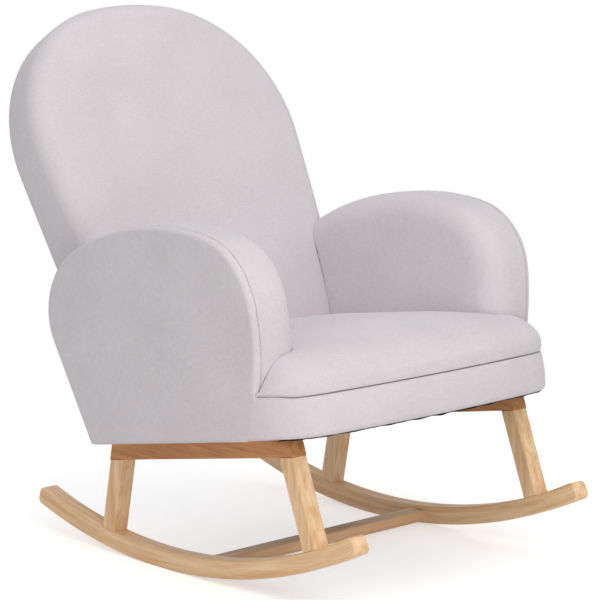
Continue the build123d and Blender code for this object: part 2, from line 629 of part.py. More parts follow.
def back_hollow():
    """Air space of the back, inside its frame and behind the webbing."""
    outline = back_outline(BACK_FRAME_INSET + BACK_FRAME_WIDTH, SLAT_HEIGHTS[0])
    room = back_layer(outline, BACK_FRAME_DEPTH, BACK_THICKNESS - BACK_REAR_WALL - BACK_FRAME_DEPTH)
    return room - back_rear_wedge(BACK_REAR_WALL)


def back_slats():
    """Three slats let in between the frame's sides."""
    opening = back_layer(
        back_outline(BACK_FRAME_INSET + BACK_FRAME_WIDTH, BACK_FRAME_FOOT), BACK_FRAME_DEPTH, PLY_THICKNESS
    )
    return [opening & back_band(low, low + SLAT_WIDTH) for low in SLAT_HEIGHTS]


def back_webbing():
    """Elastic straps across the front of the frame."""
    sheet = back_layer(
        back_outline(BACK_FRAME_INSET + WEBBING_MARGIN, BACK_FRAME_FOOT),
        BACK_FRAME_DEPTH - WEBBING_THICKNESS, WEBBING_THICKNESS,
    )
    first = SLAT_HEIGHTS[1] + SLAT_WIDTH + WEBBING_PITCH / 2
    lows = [first + index * WEBBING_PITCH for index in range(WEBBING_COUNT)]
    return [sheet & back_band(low, low + WEBBING_WIDTH) for low in lows]


# ---------------------------------------------------------------- fasteners
def bolt(start, end):
    """Button-head bolt: its head stands outside the start point, its shank runs to the end."""
    axis = (Vector(*end) - Vector(*start)).normalized()
    button = rod(tuple(Vector(*start) - axis * BOLT_HEAD_DEPTH), start, BOLT_HEAD_DIAMETER)
    rim = button.edges().sort_by(Axis(start, tuple(axis)))[0]
    return chamfer(rim, BOLT_HEAD_DEPTH / 4) + rod(start, end, BOLT_DIAMETER)


def ring(centre, outer, inner, thickness):
    """Flat ring round a vertical axis, on top of its centre point."""
    tall = (*centre[:2], centre[2] + thickness)
    return rod(centre, tall, outer) - rod(centre, tall, inner)


def bolt_recesses():
    """Counterbores under the right-hand rail for the frame bolts' heads and washers."""
    diameter = WASHER_DIAMETER + 2 * BOLT_RECESS_CLEARANCE
    return [rod((FRAME_MIDDLE, y, -RAIL_DEPTH), (FRAME_MIDDLE, y, -RAIL_DEPTH + BOLT_RECESS), diameter)
            for y in FRAME_BOLT_PLACES]


def frame_bolts():
    """Bolts up through the right-hand rail and its stringer."""
    low = BOLT_RECESS - RAIL_DEPTH - WASHER_THICKNESS
    high = STRINGER_DEPTH + 2 * TEE_NUT_THICKNESS
    return [bolt((FRAME_MIDDLE, y, low), (FRAME_MIDDLE, y, high)) for y in FRAME_BOLT_PLACES]


def frame_washers():
    """Washers under the frame bolts' heads."""
    low = BOLT_RECESS - RAIL_DEPTH - WASHER_THICKNESS
    return [ring((FRAME_MIDDLE, y, low), WASHER_DIAMETER, BOLT_DIAMETER, WASHER_THICKNESS)
            for y in FRAME_BOLT_PLACES]


def frame_tee_nuts():
    """Tee nuts driven into the top of the right-hand stringer."""
    nuts = []
    for y in FRAME_BOLT_PLACES:
        barrel_low = (FRAME_MIDDLE, y, STRINGER_DEPTH - TEE_NUT_LENGTH)
        barrel = ring(barrel_low, TEE_NUT_BARREL, BOLT_DIAMETER, TEE_NUT_LENGTH)
        flange = ring((FRAME_MIDDLE, y, STRINGER_DEPTH), TEE_NUT_DIAMETER, BOLT_DIAMETER,
                      TEE_NUT_THICKNESS)
        nuts.append(barrel + flange)
    return nuts


def arm_bolts():
    """Bolts from the seat's right-hand side rail into the arm's stringer."""
    start_x = SEAT_HALF - SEAT_RAIL_THICKNESS
    end_x = STRINGER_OUTER - BOLT_DIAMETER
    z = SEAT_RAIL_DEPTH / 2
    return [bolt((start_x, y, z), (end_x, y, z)) for y in ARM_BOLT_PLACES]


def back_bolts():
    """Bolt from the seat's rear rail into the back's lowest slat, on the right."""
    _, rear_rail, _ = seat_rails()
    z = SEAT_RAIL_DEPTH / 2
    reach = BACK_FRAME_DEPTH + PLY_THICKNESS * 0.6
    along = (z + reach * math.sin(math.radians(BACK_RAKE))) / math.cos(math.radians(BACK_RAKE))
    end = BACK_PLANE.from_local_coords((0, along, reach))
    start = (BACK_BOLT_X, rear_rail.bounding_box().min.Y, z)
    return [bolt(start, (BACK_BOLT_X, end.Y, z))]


# ---------------------------------------------------------------- the whole chair
def both(solids):
    """Solids of the right-hand side with their mirror images."""
    return [copy for solid in solids for copy in pair(solid)]


def base_pieces():
    """Wooden side frames, stretcher and dowels; holes fit the dowels and bolts."""
    dowels, cross_dowels = leg_dowels(), stretcher_dowels()
    bolts = frame_bolts()
    timbers = {
        "rocker": without(rocker(), *dowels, *cross_dowels),
        "front_leg": without(leg(FRONT_LEG_TOP_Y, -FRONT_LEG_RAKE), *dowels),
        "rear_leg": without(leg(REAR_LEG_TOP_Y, REAR_LEG_RAKE), *dowels),
        "top_rail": without(top_rail(), *dowels, *bolts, *bolt_recesses()),
    }
    pieces = {}
    for name, solid in timbers.items():
        pieces[name + "_right"], pieces[name + "_left"] = ([side] for side in pair(solid))
    pieces["stretcher"] = [without(stretcher(), *both(cross_dowels))]
    pieces["leg_dowels"] = both(dowels)
    pieces["stretcher_dowels"] = both(cross_dowels)
    pieces["frame_bolts"] = both(bolts)
    pieces["frame_washers"] = both(frame_washers())
    pieces["frame_tee_nuts"] = both(frame_tee_nuts())
    return pieces


def seat_pieces():
    """Seat frame, springs, felt, cushion, apron and dust cover."""
    front_rail, rear_rail, side_rail = seat_rails()
    arm_room = arm_solid(-SOFT_GAP, ARM_INNER - SOFT_GAP, ARM_OUTER + SOFT_GAP)
    arms_room, back_room = pair(arm_room), back_slab(SOFT_GAP)
    side_rails = pair(without(side_rail, *arm_bolts()))
    return {
        "seat_front_rail": [front_rail],
        "seat_rear_rail": [without(rear_rail, *both(back_bolts()))],
        "seat_side_rail_right": side_rails[:1],
        "seat_side_rail_left": side_rails[1:],
        "seat_corner_blocks": corner_blocks(),
        "seat_springs": seat_springs(),
        "spring_clips": spring_clips(),
        "spring_cover": [spring_cover()],
        "dust_cover": [dust_cover()],
        "seat_apron": [without(seat_apron(), front_rail, *arms_room)],
        "seat_cushion": [without(seat_cushion(), *arms_room, back_room)],
        "arm_bolts": both(arm_bolts()),
    }


def arm_pieces():
    """Stringer, plywood panel and padding of both arms."""
    bolts, side_bolts, nuts = frame_bolts(), arm_bolts(), frame_tee_nuts()
    stringer, panel = arm_stringer(), arm_panel()
    padding = without(arm_solid(), stringer, panel, *bolts, *side_bolts, *nuts, back_slab(SOFT_GAP))
    pieces = {
        "arm_stringer": without(stringer, *bolts, *side_bolts, *nuts),
        "arm_panel": panel,
        "arm_padding": padding,
    }
    return {f"{name}_{side}": [solid] for name, right in pieces.items()
            for side, solid in zip(("right", "left"), pair(right))}


def back_pieces():
    """Frame, slats, webbing, bolts and padding of the back."""
    frame, slats, webbing, bolts = back_frame(), back_slats(), back_webbing(), both(back_bolts())
    slats[0] = without(slats[0], *bolts)
    return {
        "back_frame": [frame],
        "back_slats": slats,
        "back_webbing": webbing,
        "back_bolts": bolts,
        "back_padding": [without(back_slab(), back_hollow(), frame, *slats, *webbing, *bolts)],
    }


def rest_attitude(pieces):
    """Location that leans the chair back and stands it over the origin, on the floor."""
    lean = Location((0, 0, 0), (-LEAN, 0, 0))
    boxes = [(lean * solid).bounding_box() for name in ("rocker_right", "back_padding")
             for solid in pieces[name]]
    middle = (min(box.min.Y for box in boxes) + max(box.max.Y for box in boxes)) / 2
    centre = (lean * Location((0, ROCKER_CENTRE_Y, ROCKER_CENTRE_Z))).position
    height = ROCKER_RADIUS * math.cos(math.radians(rest_flat_angle()))
    return Location((0, -middle, height - centre.Z)) * lean


def main():
    """Write one STEP file for each named piece."""
    pieces = {**base_pieces(), **seat_pieces(), **arm_pieces(), **back_pieces()}
    place = rest_attitude(pieces)
    os.makedirs("parts", exist_ok=True)
    for name, solids in pieces.items():
        shape = Compound([place * solid for solid in solids])
        shape.label = name
        export_step(shape, f"parts/{name}.step")


main()
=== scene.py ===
"""Looks of the upholstered rocking chair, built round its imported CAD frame.

Code shapes the covers of the back, the arms and the apron, and the cloth under the seat.  The
seat cushion is shaped by code too, and then inflated by a short cloth simulation.
"""
import math

import bmesh
import bpy
import numpy as np
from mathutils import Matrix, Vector, noise


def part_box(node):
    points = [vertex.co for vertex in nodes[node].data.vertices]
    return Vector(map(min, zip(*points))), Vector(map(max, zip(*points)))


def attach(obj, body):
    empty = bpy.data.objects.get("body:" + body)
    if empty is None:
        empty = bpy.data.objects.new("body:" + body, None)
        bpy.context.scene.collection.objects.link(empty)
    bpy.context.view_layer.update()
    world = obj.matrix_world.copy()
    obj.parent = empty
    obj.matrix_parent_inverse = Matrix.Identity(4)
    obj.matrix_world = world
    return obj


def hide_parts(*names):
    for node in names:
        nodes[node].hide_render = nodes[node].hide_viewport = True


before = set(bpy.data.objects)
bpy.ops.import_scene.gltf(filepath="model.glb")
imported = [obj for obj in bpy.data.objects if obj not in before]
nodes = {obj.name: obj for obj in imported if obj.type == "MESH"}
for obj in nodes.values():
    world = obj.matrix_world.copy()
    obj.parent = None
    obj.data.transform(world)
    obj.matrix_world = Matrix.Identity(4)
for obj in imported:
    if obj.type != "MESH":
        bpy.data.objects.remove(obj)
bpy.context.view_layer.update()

MM = 0.001
SHARP = math.radians(42)     # edges that turn more than this stay sharp
LEAN = math.radians(10.2)    # the rails' slope at rest, down towards the rear
RAKE = math.radians(19.4)    # the back, against the square to the rails
COS, SIN = math.cos(LEAN), math.sin(LEAN)

# Shapes are worked out in the chair's own axes, in mm: X across, Y along the top rails (the
# sitter faces -Y) and Z square to the rails, with 0 on top of them.
STRINGER_FRONT, STRINGER_REAR = -270.0, 53.0
stringer_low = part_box("arm_stringer_right")[0]
SHIFT_Y = stringer_low[1] / MM - STRINGER_FRONT * COS
SHIFT_Z = stringer_low[2] / MM + STRINGER_REAR * SIN
ROCKER_CENTRE = (-155.0, 853.5)
ROCKER_MIDDLE_RADIUS = 1.08  # metres, for the run of the grain
CONTACT_Y = ROCKER_CENTRE[0] * COS + ROCKER_CENTRE[1] * SIN + SHIFT_Y


def place(points):
    """Chair millimetres to the frame's metres."""
    p = np.asarray(points, float)
    y = p[..., 1] * COS + p[..., 2] * SIN + SHIFT_Y
    z = -p[..., 1] * SIN + p[..., 2] * COS + SHIFT_Z
    return np.stack([p[..., 0], y, z], -1) * MM


def unplace(points):
    """The frame's metres to chair millimetres."""
    p = np.asarray(points, float) / MM
    y, z = p[..., 1] - SHIFT_Y, p[..., 2] - SHIFT_Z
    return np.stack([p[..., 0], y * COS - z * SIN, y * SIN + z * COS], -1)


def smooth(t):
    """Smooth step from 0 to 1."""
    t = np.clip(t, 0.0, 1.0)
    return t * t * (3 - 2 * t)


# ---------------------------------------------------------------- mesh helpers
NORMAL_REACH = 1.5           # either side of a point, for a curve's direction there


class Mesh:
    """Collects grids of points in chair millimetres and welds them into one object."""

    def __init__(self):
        self.points, self.faces = [], []

    def move(self, change):
        """Replaces the points by what a function makes of them."""
        self.points = [tuple(p) for p in change(np.array(self.points))]

    def grid(self, rows, flip=False):
        """Adds a grid of points, rows by columns by 3."""
        rows = np.asarray(rows, float)
        n, m = rows.shape[:2]
        base = len(self.points)
        self.points += [tuple(p) for p in rows.reshape(-1, 3)]
        for i in range(n - 1):
            for j in range(m - 1):
                a = base + i * m + j
                quad = (a, a + 1, a + m + 1, a + m)
                self.faces.append(quad[::-1] if flip else quad)

    def build(self, name, material, weld):
        """Makes the object; welds what coincides and turns every face outwards."""
        mesh = bpy.data.meshes.new(name)
        mesh.from_pydata([tuple(p) for p in place(self.points)], [], self.faces)
        bm = bmesh.new()
        bm.from_mesh(mesh)
        bmesh.ops.remove_doubles(bm, verts=bm.verts, dist=weld * MM)
        bmesh.ops.dissolve_degenerate(bm, edges=bm.edges, dist=weld * MM / 4)
        bmesh.ops.recalc_face_normals(bm, faces=bm.faces)
        for edge in bm.edges:
            edge.smooth = len(edge.link_faces) != 2 or edge.calc_face_angle() < SHARP
        bm.to_mesh(mesh)
        bm.free()
        mesh.polygons.foreach_set("use_smooth", [True] * len(mesh.polygons))
        obj = bpy.data.objects.new(name, mesh)
        bpy.context.scene.collection.objects.link(obj)
        obj.data.materials.append(material)
        return obj


def coords(obj):
    """Vertex coordinates in chair millimetres."""
    flat = np.empty(len(obj.data.vertices) * 3)
    obj.data.vertices.foreach_get("co", flat)
    return unplace(flat.reshape(-1, 3))


def set_coords(obj, points):
    """Writes vertex coordinates given in chair millimetres."""
    obj.data.vertices.foreach_set("co", place(points).ravel())
    obj.data.update()


def arc(centre, radius, start, end, step=1.5):
    """Points on an arc, angles in radians."""
    count = max(3, int(abs(end - start) * radius / step) + 1)
    turn = np.linspace(start, end, count)
    return np.stack([centre[0] + radius * np.cos(turn), centre[1] + radius * np.sin(turn)], 1)


def chain(*runs):
    """Joins runs of 2-D points and drops repeats."""
    points = np.vstack(runs)
    keep = np.r_[True, np.linalg.norm(np.diff(points, axis=0), axis=1) > 1e-6]
    return points[keep]


def steps_along(curve):
    """Distance of each point of a 2-D curve from its start."""
    return np.r_[0, np.cumsum(np.linalg.norm(np.diff(curve, axis=0), axis=1))]


def along(curve, places):
    """Points and left-hand normals at given lengths along a 2-D curve."""
    steps = steps_along(curve)
    behind, at, ahead = (
        np.stack([np.interp(places + shift, steps, curve[:, k]) for k in (0, 1)], 1)
        for shift in (-NORMAL_REACH, 0.0, NORMAL_REACH)
    )
    tangent = ahead - behind
    tangent /= np.linalg.norm(tangent, axis=1)[:, None]
    return at, np.stack([-tangent[:, 1], tangent[:, 0]], 1)


def length(curve):
    """Length of a 2-D curve."""
    return float(np.linalg.norm(np.diff(curve, axis=0), axis=1).sum())


def inwards(rim, normal, height):
    """Direction into a shape from its rim; towards the foot it turns level below a height."""
    low = 1 - smooth(rim[:, 1] / height)
    inward = normal * (1 - low)[:, None]
    inward[:, 0] += low * np.sign(normal[:, 0]) / np.abs(normal[:, 0]).clip(0.3)
    return inward


def ring_faces(rim, centre, count, power=1.0):
    """Rows that shrink from a rim of points to a centre point, without the rim itself."""
    shares = (1 - np.linspace(0, 1, count + 1)[1:]) ** power
    return [centre + (rim - centre) * share for share in shares]


def lumps(points, size, depth, seed):
    """Slow, smooth unevenness of stuffed fabric, in mm."""
    offset = Vector((seed, 0, 0))
    return np.array([depth * noise.noise(Vector(p) / size + offset) for p in points])


# ---------------------------------------------------------------- the back's faces
BACK_FOOT_Y = -8.0
BACK_THICKNESS, BACK_TOP_THICKNESS = 120.0, 88.0
BACK_SLIM, SLIM_BEND = 330.0, 40.0      # above this it grows slimmer; softness of that bend
BACK_HALF, BACK_WIDEST, BACK_TOP, BACK_CROWN = 309.0, 549.5, 847.5, 560.0
TAPER = math.radians(6.0)
LUMBAR_HEIGHT, LUMBAR_BEND, LUMBAR_TURN = 335.0, 60.0, math.radians(10.9)
BACK_FRONT_EDGE, BACK_REAR_EDGE = 32.0, 10.0
FRONT_INSETS = (110.0, 85.0, 64.0, 48.0, 38.0)      # of the faces' outer rings, from the rim
REAR_INSETS = (24.0, 40.0, 64.0, 85.0, 110.0)
BACK_HEART = 430.0           # the faces' rings shrink to the middle line below this height
BACK_FLAT_FOOT = 60.0        # the rings stay level below this
FRONT_CROWN, REAR_CROWN, SIDE_SWELL = 5.0, 2.0, 2.5     # how far the padding bulges


def back_point(x, s, t):
    """Back axes (across, up the front face, rearwards) to chair axes."""
    y = BACK_FOOT_Y + s * math.sin(RAKE) + t * math.cos(RAKE)
    return np.stack([x, y, s * math.cos(RAKE) - t * math.sin(RAKE)], -1)


def back_local(p):
    """Chair axes to the back's axes."""
    y = p[..., 1] - BACK_FOOT_Y
    s = y * math.sin(RAKE) + p[..., 2] * math.cos(RAKE)
    t = y * math.cos(RAKE) - p[..., 2] * math.sin(RAKE)
    return s, t


def back_curve():
    """The back's outline (across, up), from its right foot over the crown to the left foot."""
    outward = np.array([math.cos(TAPER), -math.sin(TAPER)])
    widest, crown = np.array([BACK_HALF, BACK_WIDEST]), np.array([0, BACK_TOP - BACK_CROWN])
    reach = widest - crown
    radius = (BACK_CROWN ** 2 - reach @ reach) / (2 * (BACK_CROWN - reach @ outward))
    shoulder = widest - outward * radius
    turn = math.atan2(*(shoulder - crown)[::-1])
    foot = BACK_HALF - BACK_WIDEST * math.tan(TAPER)
    right = chain(
        [[foot, 0.0]], arc(shoulder, radius, -TAPER, turn),
        arc(crown, BACK_CROWN, turn, math.pi / 2),
    )
    left = right[::-1] * [-1, 1]
    return chain(right, left)


def ramp_up(distance, bend):
    """0 for negative distances, the distance for positive ones, with a soft bend between."""
    return 0.5 * (distance + np.sqrt(distance ** 2 + bend ** 2))


def lumbar(s):
    """How far the front face stands behind its upper plane at a height."""
    return ramp_up(LUMBAR_HEIGHT - s, LUMBAR_BEND) * math.tan(LUMBAR_TURN)


def back_depth(s):
    """Thickness of the back at a height along it."""
    slimmer = (BACK_THICKNESS - BACK_TOP_THICKNESS) / (BACK_TOP - BACK_SLIM)
    return BACK_THICKNESS - slimmer * ramp_up(s - BACK_SLIM, SLIM_BEND)


def back_half(s):
    """Half width of the back below its widest line."""
    return BACK_HALF - np.maximum(BACK_WIDEST - s, 0) * math.tan(TAPER)


def make_back(fabric):
    """Padded back: flat crowned front, soft front edge, boxed sides and a flat rear."""
    curve = back_curve()
    total = length(curve)
    foot = 20.0
    places = np.r_[
        np.linspace(0, foot, 5)[:-1], np.linspace(foot, total - foot, 190),
        np.linspace(total - foot, total, 5)[1:],
    ]
    rim, normal = along(curve, places)
    inward = inwards(rim, normal, BACK_FLAT_FOOT)
    front, rear = BACK_FRONT_EDGE, BACK_REAR_EDGE
    turns = np.linspace(0, math.pi / 2, 9)
    section = [(d, 0.0, 0.0) for d in FRONT_INSETS]
    section += [(front * (1 - math.sin(a)), front * (1 - math.cos(a)), 0.0) for a in turns]
    section += [(0.0, front * (1 - k) - rear * k, k) for k in np.linspace(0, 1, 10)[1:-1]]
    section += [(rear * (1 - math.cos(a)), -rear * (1 - math.sin(a)), 1.0) for a in turns]
    section += [(d, 0.0, 1.0) for d in REAR_INSETS]
    columns = []
    for d, t, share in section:
        at = rim + inward * d
        columns.append(np.stack([at[:, 0], at[:, 1], t + share * back_depth(at[:, 1])], 1))
    for side in (0, 1):
        edge = columns[-side][:, :2]
        centre = np.stack([edge[:, 0] * 0, np.clip(edge[:, 1], 0, BACK_HEART)], 1)
        rings = ring_faces(edge, centre, 12)
        extra = [np.stack([r[:, 0], r[:, 1], side * back_depth(r[:, 1])], 1) for r in rings]
        columns = columns + extra if side else extra[::-1] + columns
    local = np.stack(columns, 1)
    x, s, t = local[..., 0], local[..., 1], local[..., 2]
    share = t / back_depth(s)
    bulge = np.clip(1 - (np.abs(x) / (back_half(s) + 1)) ** 4, 0, 1)
    bulge = bulge * smooth((BACK_TOP - s) / 150.0)
    t = t - FRONT_CROWN * bulge * (1 - share) ** 3 + REAR_CROWN * bulge * share ** 6
    swell = SIDE_SWELL * np.sin(math.pi * np.clip(share, 0, 1))
    x = x + np.sign(x) * swell * smooth(np.abs(x) / 200.0)
    t = t + (lumbar(s) - lumbar(BACK_TOP)) * (1 - np.clip(share, 0, 1))
    level = np.clip(1 - s / 180.0, 0, 1)
    s = s + (t * math.tan(RAKE) + 1.5) * level
    points = back_point(x, s, t)
    mesh = Mesh()
    mesh.grid(points)
    mesh.grid(np.stack([points[0], points[-1]], 0), flip=True)
    return mesh.build("back_cover", fabric, weld=0.05)


# ---------------------------------------------------------------- the arms' faces
ARM_OUTER, ARM_INNER = 343.0, 233.0
ARM_FOOT = np.array([117.0, 0.0])
ARM_RAKE = math.radians(20.9)           # its rear edge, against the square to the rails
OUTWARD = np.array([math.cos(ARM_RAKE), -math.sin(ARM_RAKE)])
UPWARD = np.array([math.sin(ARM_RAKE), math.cos(ARM_RAKE)])
ARM_FRONT_Y, ARM_FRONT_Z, SHIN = -353.0, 215.0, 413.0   # foremost point; radius below it
ARM_CREST_Y, ARM_HEIGHT = -75.0, 378.0
ARM_REAR_R, ARM_FRONT_R, ARM_SHOULDER_R = 572.0, 566.0, 123.0
ARM_INNER_ROUND, ARM_OUTER_ROUND, ARM_TIGHT_ROUND = 46.0, 11.5, 5.0
ARM_FLAT_FOOT = 45.0         # the rings stay level below this
ARM_HEART = np.array([-85.0, 0.0])      # the side faces' rings shrink to this point
ARM_FOOT_ROUND = 7.0
TOE_IN = 8.0                 # how far the shell's low front corners draw in
ARM_UNEVEN = 1.3             # depth of the outer panel's slow unevenness
BACK_EDGE_DEPTH, BACK_EDGE_SIDE = 30.0, 12.0    # an arm stops at the back's front within these
ARM_HOLLOW = 5.0             # the inner face stands back by this above the seat
SEAM_X, SEAM_DROP = 331.5, 2.2          # the stitched seam, and how deep the cloth draws in
SEAM_FALL = 34.0             # width over which the band rises from the seam again
BACK_GAP, BACK_SIDE_GAP = 3.0, 3.5      # between an arm and the back's front and side
APRON_TOP = 66.0


def arm_curve():
    """D-shaped outline of an arm in (Y, Z), from its rear foot over the crest to its front."""
    crest_y, rear_r, front_r = ARM_CREST_Y, ARM_REAR_R, ARM_FRONT_R
    shoulder_r = ARM_SHOULDER_R
    crest_rear = np.array([crest_y, ARM_HEIGHT - rear_r])
    crest_front = np.array([crest_y, ARM_HEIGHT - front_r])
    base = ARM_FOOT - OUTWARD * shoulder_r - crest_rear
    reach = rear_r - shoulder_r
    up = base @ UPWARD
    shoulder = crest_rear + base + UPWARD * (-up + math.sqrt(up ** 2 - base @ base + reach ** 2))
    ahead, above = ARM_FRONT_Y - crest_y, ARM_FRONT_Z - crest_front[1]
    nose_r = (front_r ** 2 - ahead ** 2 - above ** 2) / (2 * (ahead + front_r))
    nose = np.array([ARM_FRONT_Y + nose_r, ARM_FRONT_Z])
    shin = np.array([ARM_FRONT_Y + SHIN, ARM_FRONT_Z])
    turn_a = math.atan2(*(shoulder - crest_rear)[::-1])
    turn_b = math.atan2(*(nose - crest_front)[::-1])
    turn_c = math.pi + math.asin(ARM_FRONT_Z / SHIN)
    return chain(
        [ARM_FOOT],
        arc(shoulder, shoulder_r, -ARM_RAKE, turn_a),
        arc(crest_rear, rear_r, turn_a, math.pi / 2),
        arc(crest_front, front_r, math.pi / 2, turn_b),
        arc(nose, nose_r, turn_b, math.pi),
        arc(shin, SHIN, math.pi, turn_c),
    )


def arm_front(z):
    """Y of the arm's front edge at a height below its foremost point."""
    below = ARM_FRONT_Z - np.minimum(z, ARM_FRONT_Z)
    return ARM_FRONT_Y + SHIN - np.sqrt(SHIN ** 2 - below ** 2)


def arm_rim(places):
    """Points along an arm's outline and the direction into the arm, level near its foot."""
    rim, normal = along(arm_curve(), places)
    return rim, inwards(rim, normal, ARM_FLAT_FOOT)


def arm_fades(rim, places, total):
    """Shares of the wrapped edge along the outline: it ends above the apron and behind the arm."""
    at_front = places > total / 2
    wrap = np.where(at_front, smooth((rim[:, 1] - APRON_TOP + 2) / 24.0), 1.0)
    soft = np.where(at_front, 1.0, smooth((rim[:, 1] - 215.0) / 110.0))
    return wrap, soft


def puckers(p):
    """Small gathers of the cloth beside the arm's seam, in mm."""
    near = np.exp(-((p[:, 0] - SEAM_X) / 6.0) ** 2) * smooth((p[:, 2] - 90.0) / 40.0)
    rear = 1 - smooth((p[:, 1] + 20.0) / 90.0)
    fine = np.array([noise.noise(Vector((x / 30.0, y / 8.5, z / 8.5))) for x, y, z in p])
    depth = 1.3
    return depth * fine * near * rear


def make_stitches(name, fabric):
    """Top stitching beside the right arm's seam: short raised dashes of thread."""
    total = length(arm_curve())
    pitch, dash, thick, aside = 6.2, 4.2, 0.55, 3.4
    starts = np.arange(total * 0.36, total - 92.0, pitch)
    mesh = Mesh()
    for start in starts:
        places = start + np.linspace(0, dash, 5)
        rim, inward = arm_rim(places)
        wrap, soft = arm_fades(rim, places, total)
        drop = (SEAM_DROP * (1 - smooth(aside / SEAM_FALL)) + 0.15) * wrap * soft
        swell = thick * np.sin(np.linspace(0.25, math.pi - 0.25, 5))
        rows = []
        for turn in np.linspace(0, 2 * math.pi, 7):
            at = rim + inward * (drop - swell * math.sin(turn))[:, None]
            across = SEAM_X - aside + swell * math.cos(turn)
            rows.append(np.stack([across, at[:, 0], at[:, 1]], 1))
        mesh.grid(np.stack(rows))
    mesh.move(tuck_arm)
    return mesh.build(name, fabric, weld=0.01)


def make_arm(name, fabric):
    """Right arm: outer panel wrapped to a stitched seam, crowned band, soft inner edge."""
    curve = arm_curve()
    total = length(curve)
    rear, front = 18.0, 130.0
    places = np.r_[
        np.linspace(0, rear, 10)[:-1], np.linspace(rear, total - front, 250),
        np.linspace(total - front, total, 40)[1:],
    ]
    rim, inward = arm_rim(places)
    wrap, soft = arm_fades(rim, places, total)
    outer_r, tight_r, inner_r = ARM_OUTER_ROUND, ARM_TIGHT_ROUND, ARM_INNER_ROUND
    turns = np.linspace(0, math.pi / 2, 9)
    section = [(ARM_OUTER, d) for d in (62.0, 48.0, 36.0, 25.0, 18.0)]
    first_wrap = len(section)
    for a in turns:
        depth = outer_r - (outer_r - SEAM_DROP) * math.sin(a)
        section.append((SEAM_X + outer_r * math.cos(a), depth))
    first_band = len(section)
    for aside, depth in ((0.3, 3.2), (0.9, 7.5), (1.5, 7.5), (2.1, 3.2)):
        section.append((SEAM_X - aside, depth))
    for x in (SEAM_X - 2.7, 326.0, 322.0, 316.0, 308.0, 300.0, 293.0):
        section.append((x, SEAM_DROP * (1 - smooth((SEAM_X - x) / SEAM_FALL)) + 0.02))
    for a in turns:
        across = ARM_INNER + inner_r * (1 - math.sin(a))
        section.append((across, inner_r * (1 - math.cos(a))))
    section += [(ARM_INNER, d) for d in (59.0, 62.0, 66.0, 72.0)]
    rings, crowding = 15, 2.4
    columns = []
    for index, (x, d) in enumerate(section):
        x_here, d_here = np.full(len(rim), x), np.full(len(rim), d)
        on_band = x > ARM_INNER + inner_r
        if first_wrap <= index < first_band:
            turn = turns[index - first_wrap]
            near = (ARM_OUTER - tight_r * (1 - math.cos(turn)), tight_r * (1 - math.sin(turn)))
            x_here = near[0] + (x - near[0]) * soft
            d_here = near[1] + (d - near[1]) * soft
        if index < first_band:
            x_here = ARM_OUTER + (x_here - ARM_OUTER) * wrap
        if index >= first_wrap and on_band:
            d_here = d_here * wrap
        if index >= first_band and on_band:
            d_here = d_here * soft
        at = rim + inward * d_here[:, None]
        columns.append(np.stack([x_here, at[:, 0], at[:, 1]], 1))
    outer, inner = (
        [np.stack([np.full(len(rim), x), *ring.T], 1)
         for ring in ring_faces(edge[:, 1:], ARM_HEART, rings, crowding)]
        for x, edge in ((ARM_OUTER, columns[0]), (ARM_INNER, columns[-1]))
    )
    grid = np.stack(outer[::-1] + columns + inner, 1)
    first = rings + first_wrap - 1
    last = grid.shape[1] - 1 - first
    outer_line = np.vstack([grid[0, :first + 1][::-1], grid[-1, 1:first + 1]])
    inner_line = np.vstack([grid[0, last:], grid[-1, last:-1][::-1]])
    shares = (ARM_OUTER - grid[0, first:last + 1, 0]) / (ARM_OUTER - ARM_INNER)
    under = outer_line[:, None] + (inner_line - outer_line)[:, None] * shares[None, :, None]
    under[0], under[-1] = grid[0, first:last + 1], grid[-1, first:last + 1]
    mesh = Mesh()
    mesh.grid(grid)
    mesh.grid(under)
    mesh.move(tuck_arm)
    return mesh.build(name, fabric, weld=0.05)


def toe_in(y, z):
    """How far the shell's sides draw in towards their low front corners, in mm."""
    return TOE_IN * smooth((-150.0 - y) / 190.0) * (1 - smooth((z - 110.0) / 170.0))


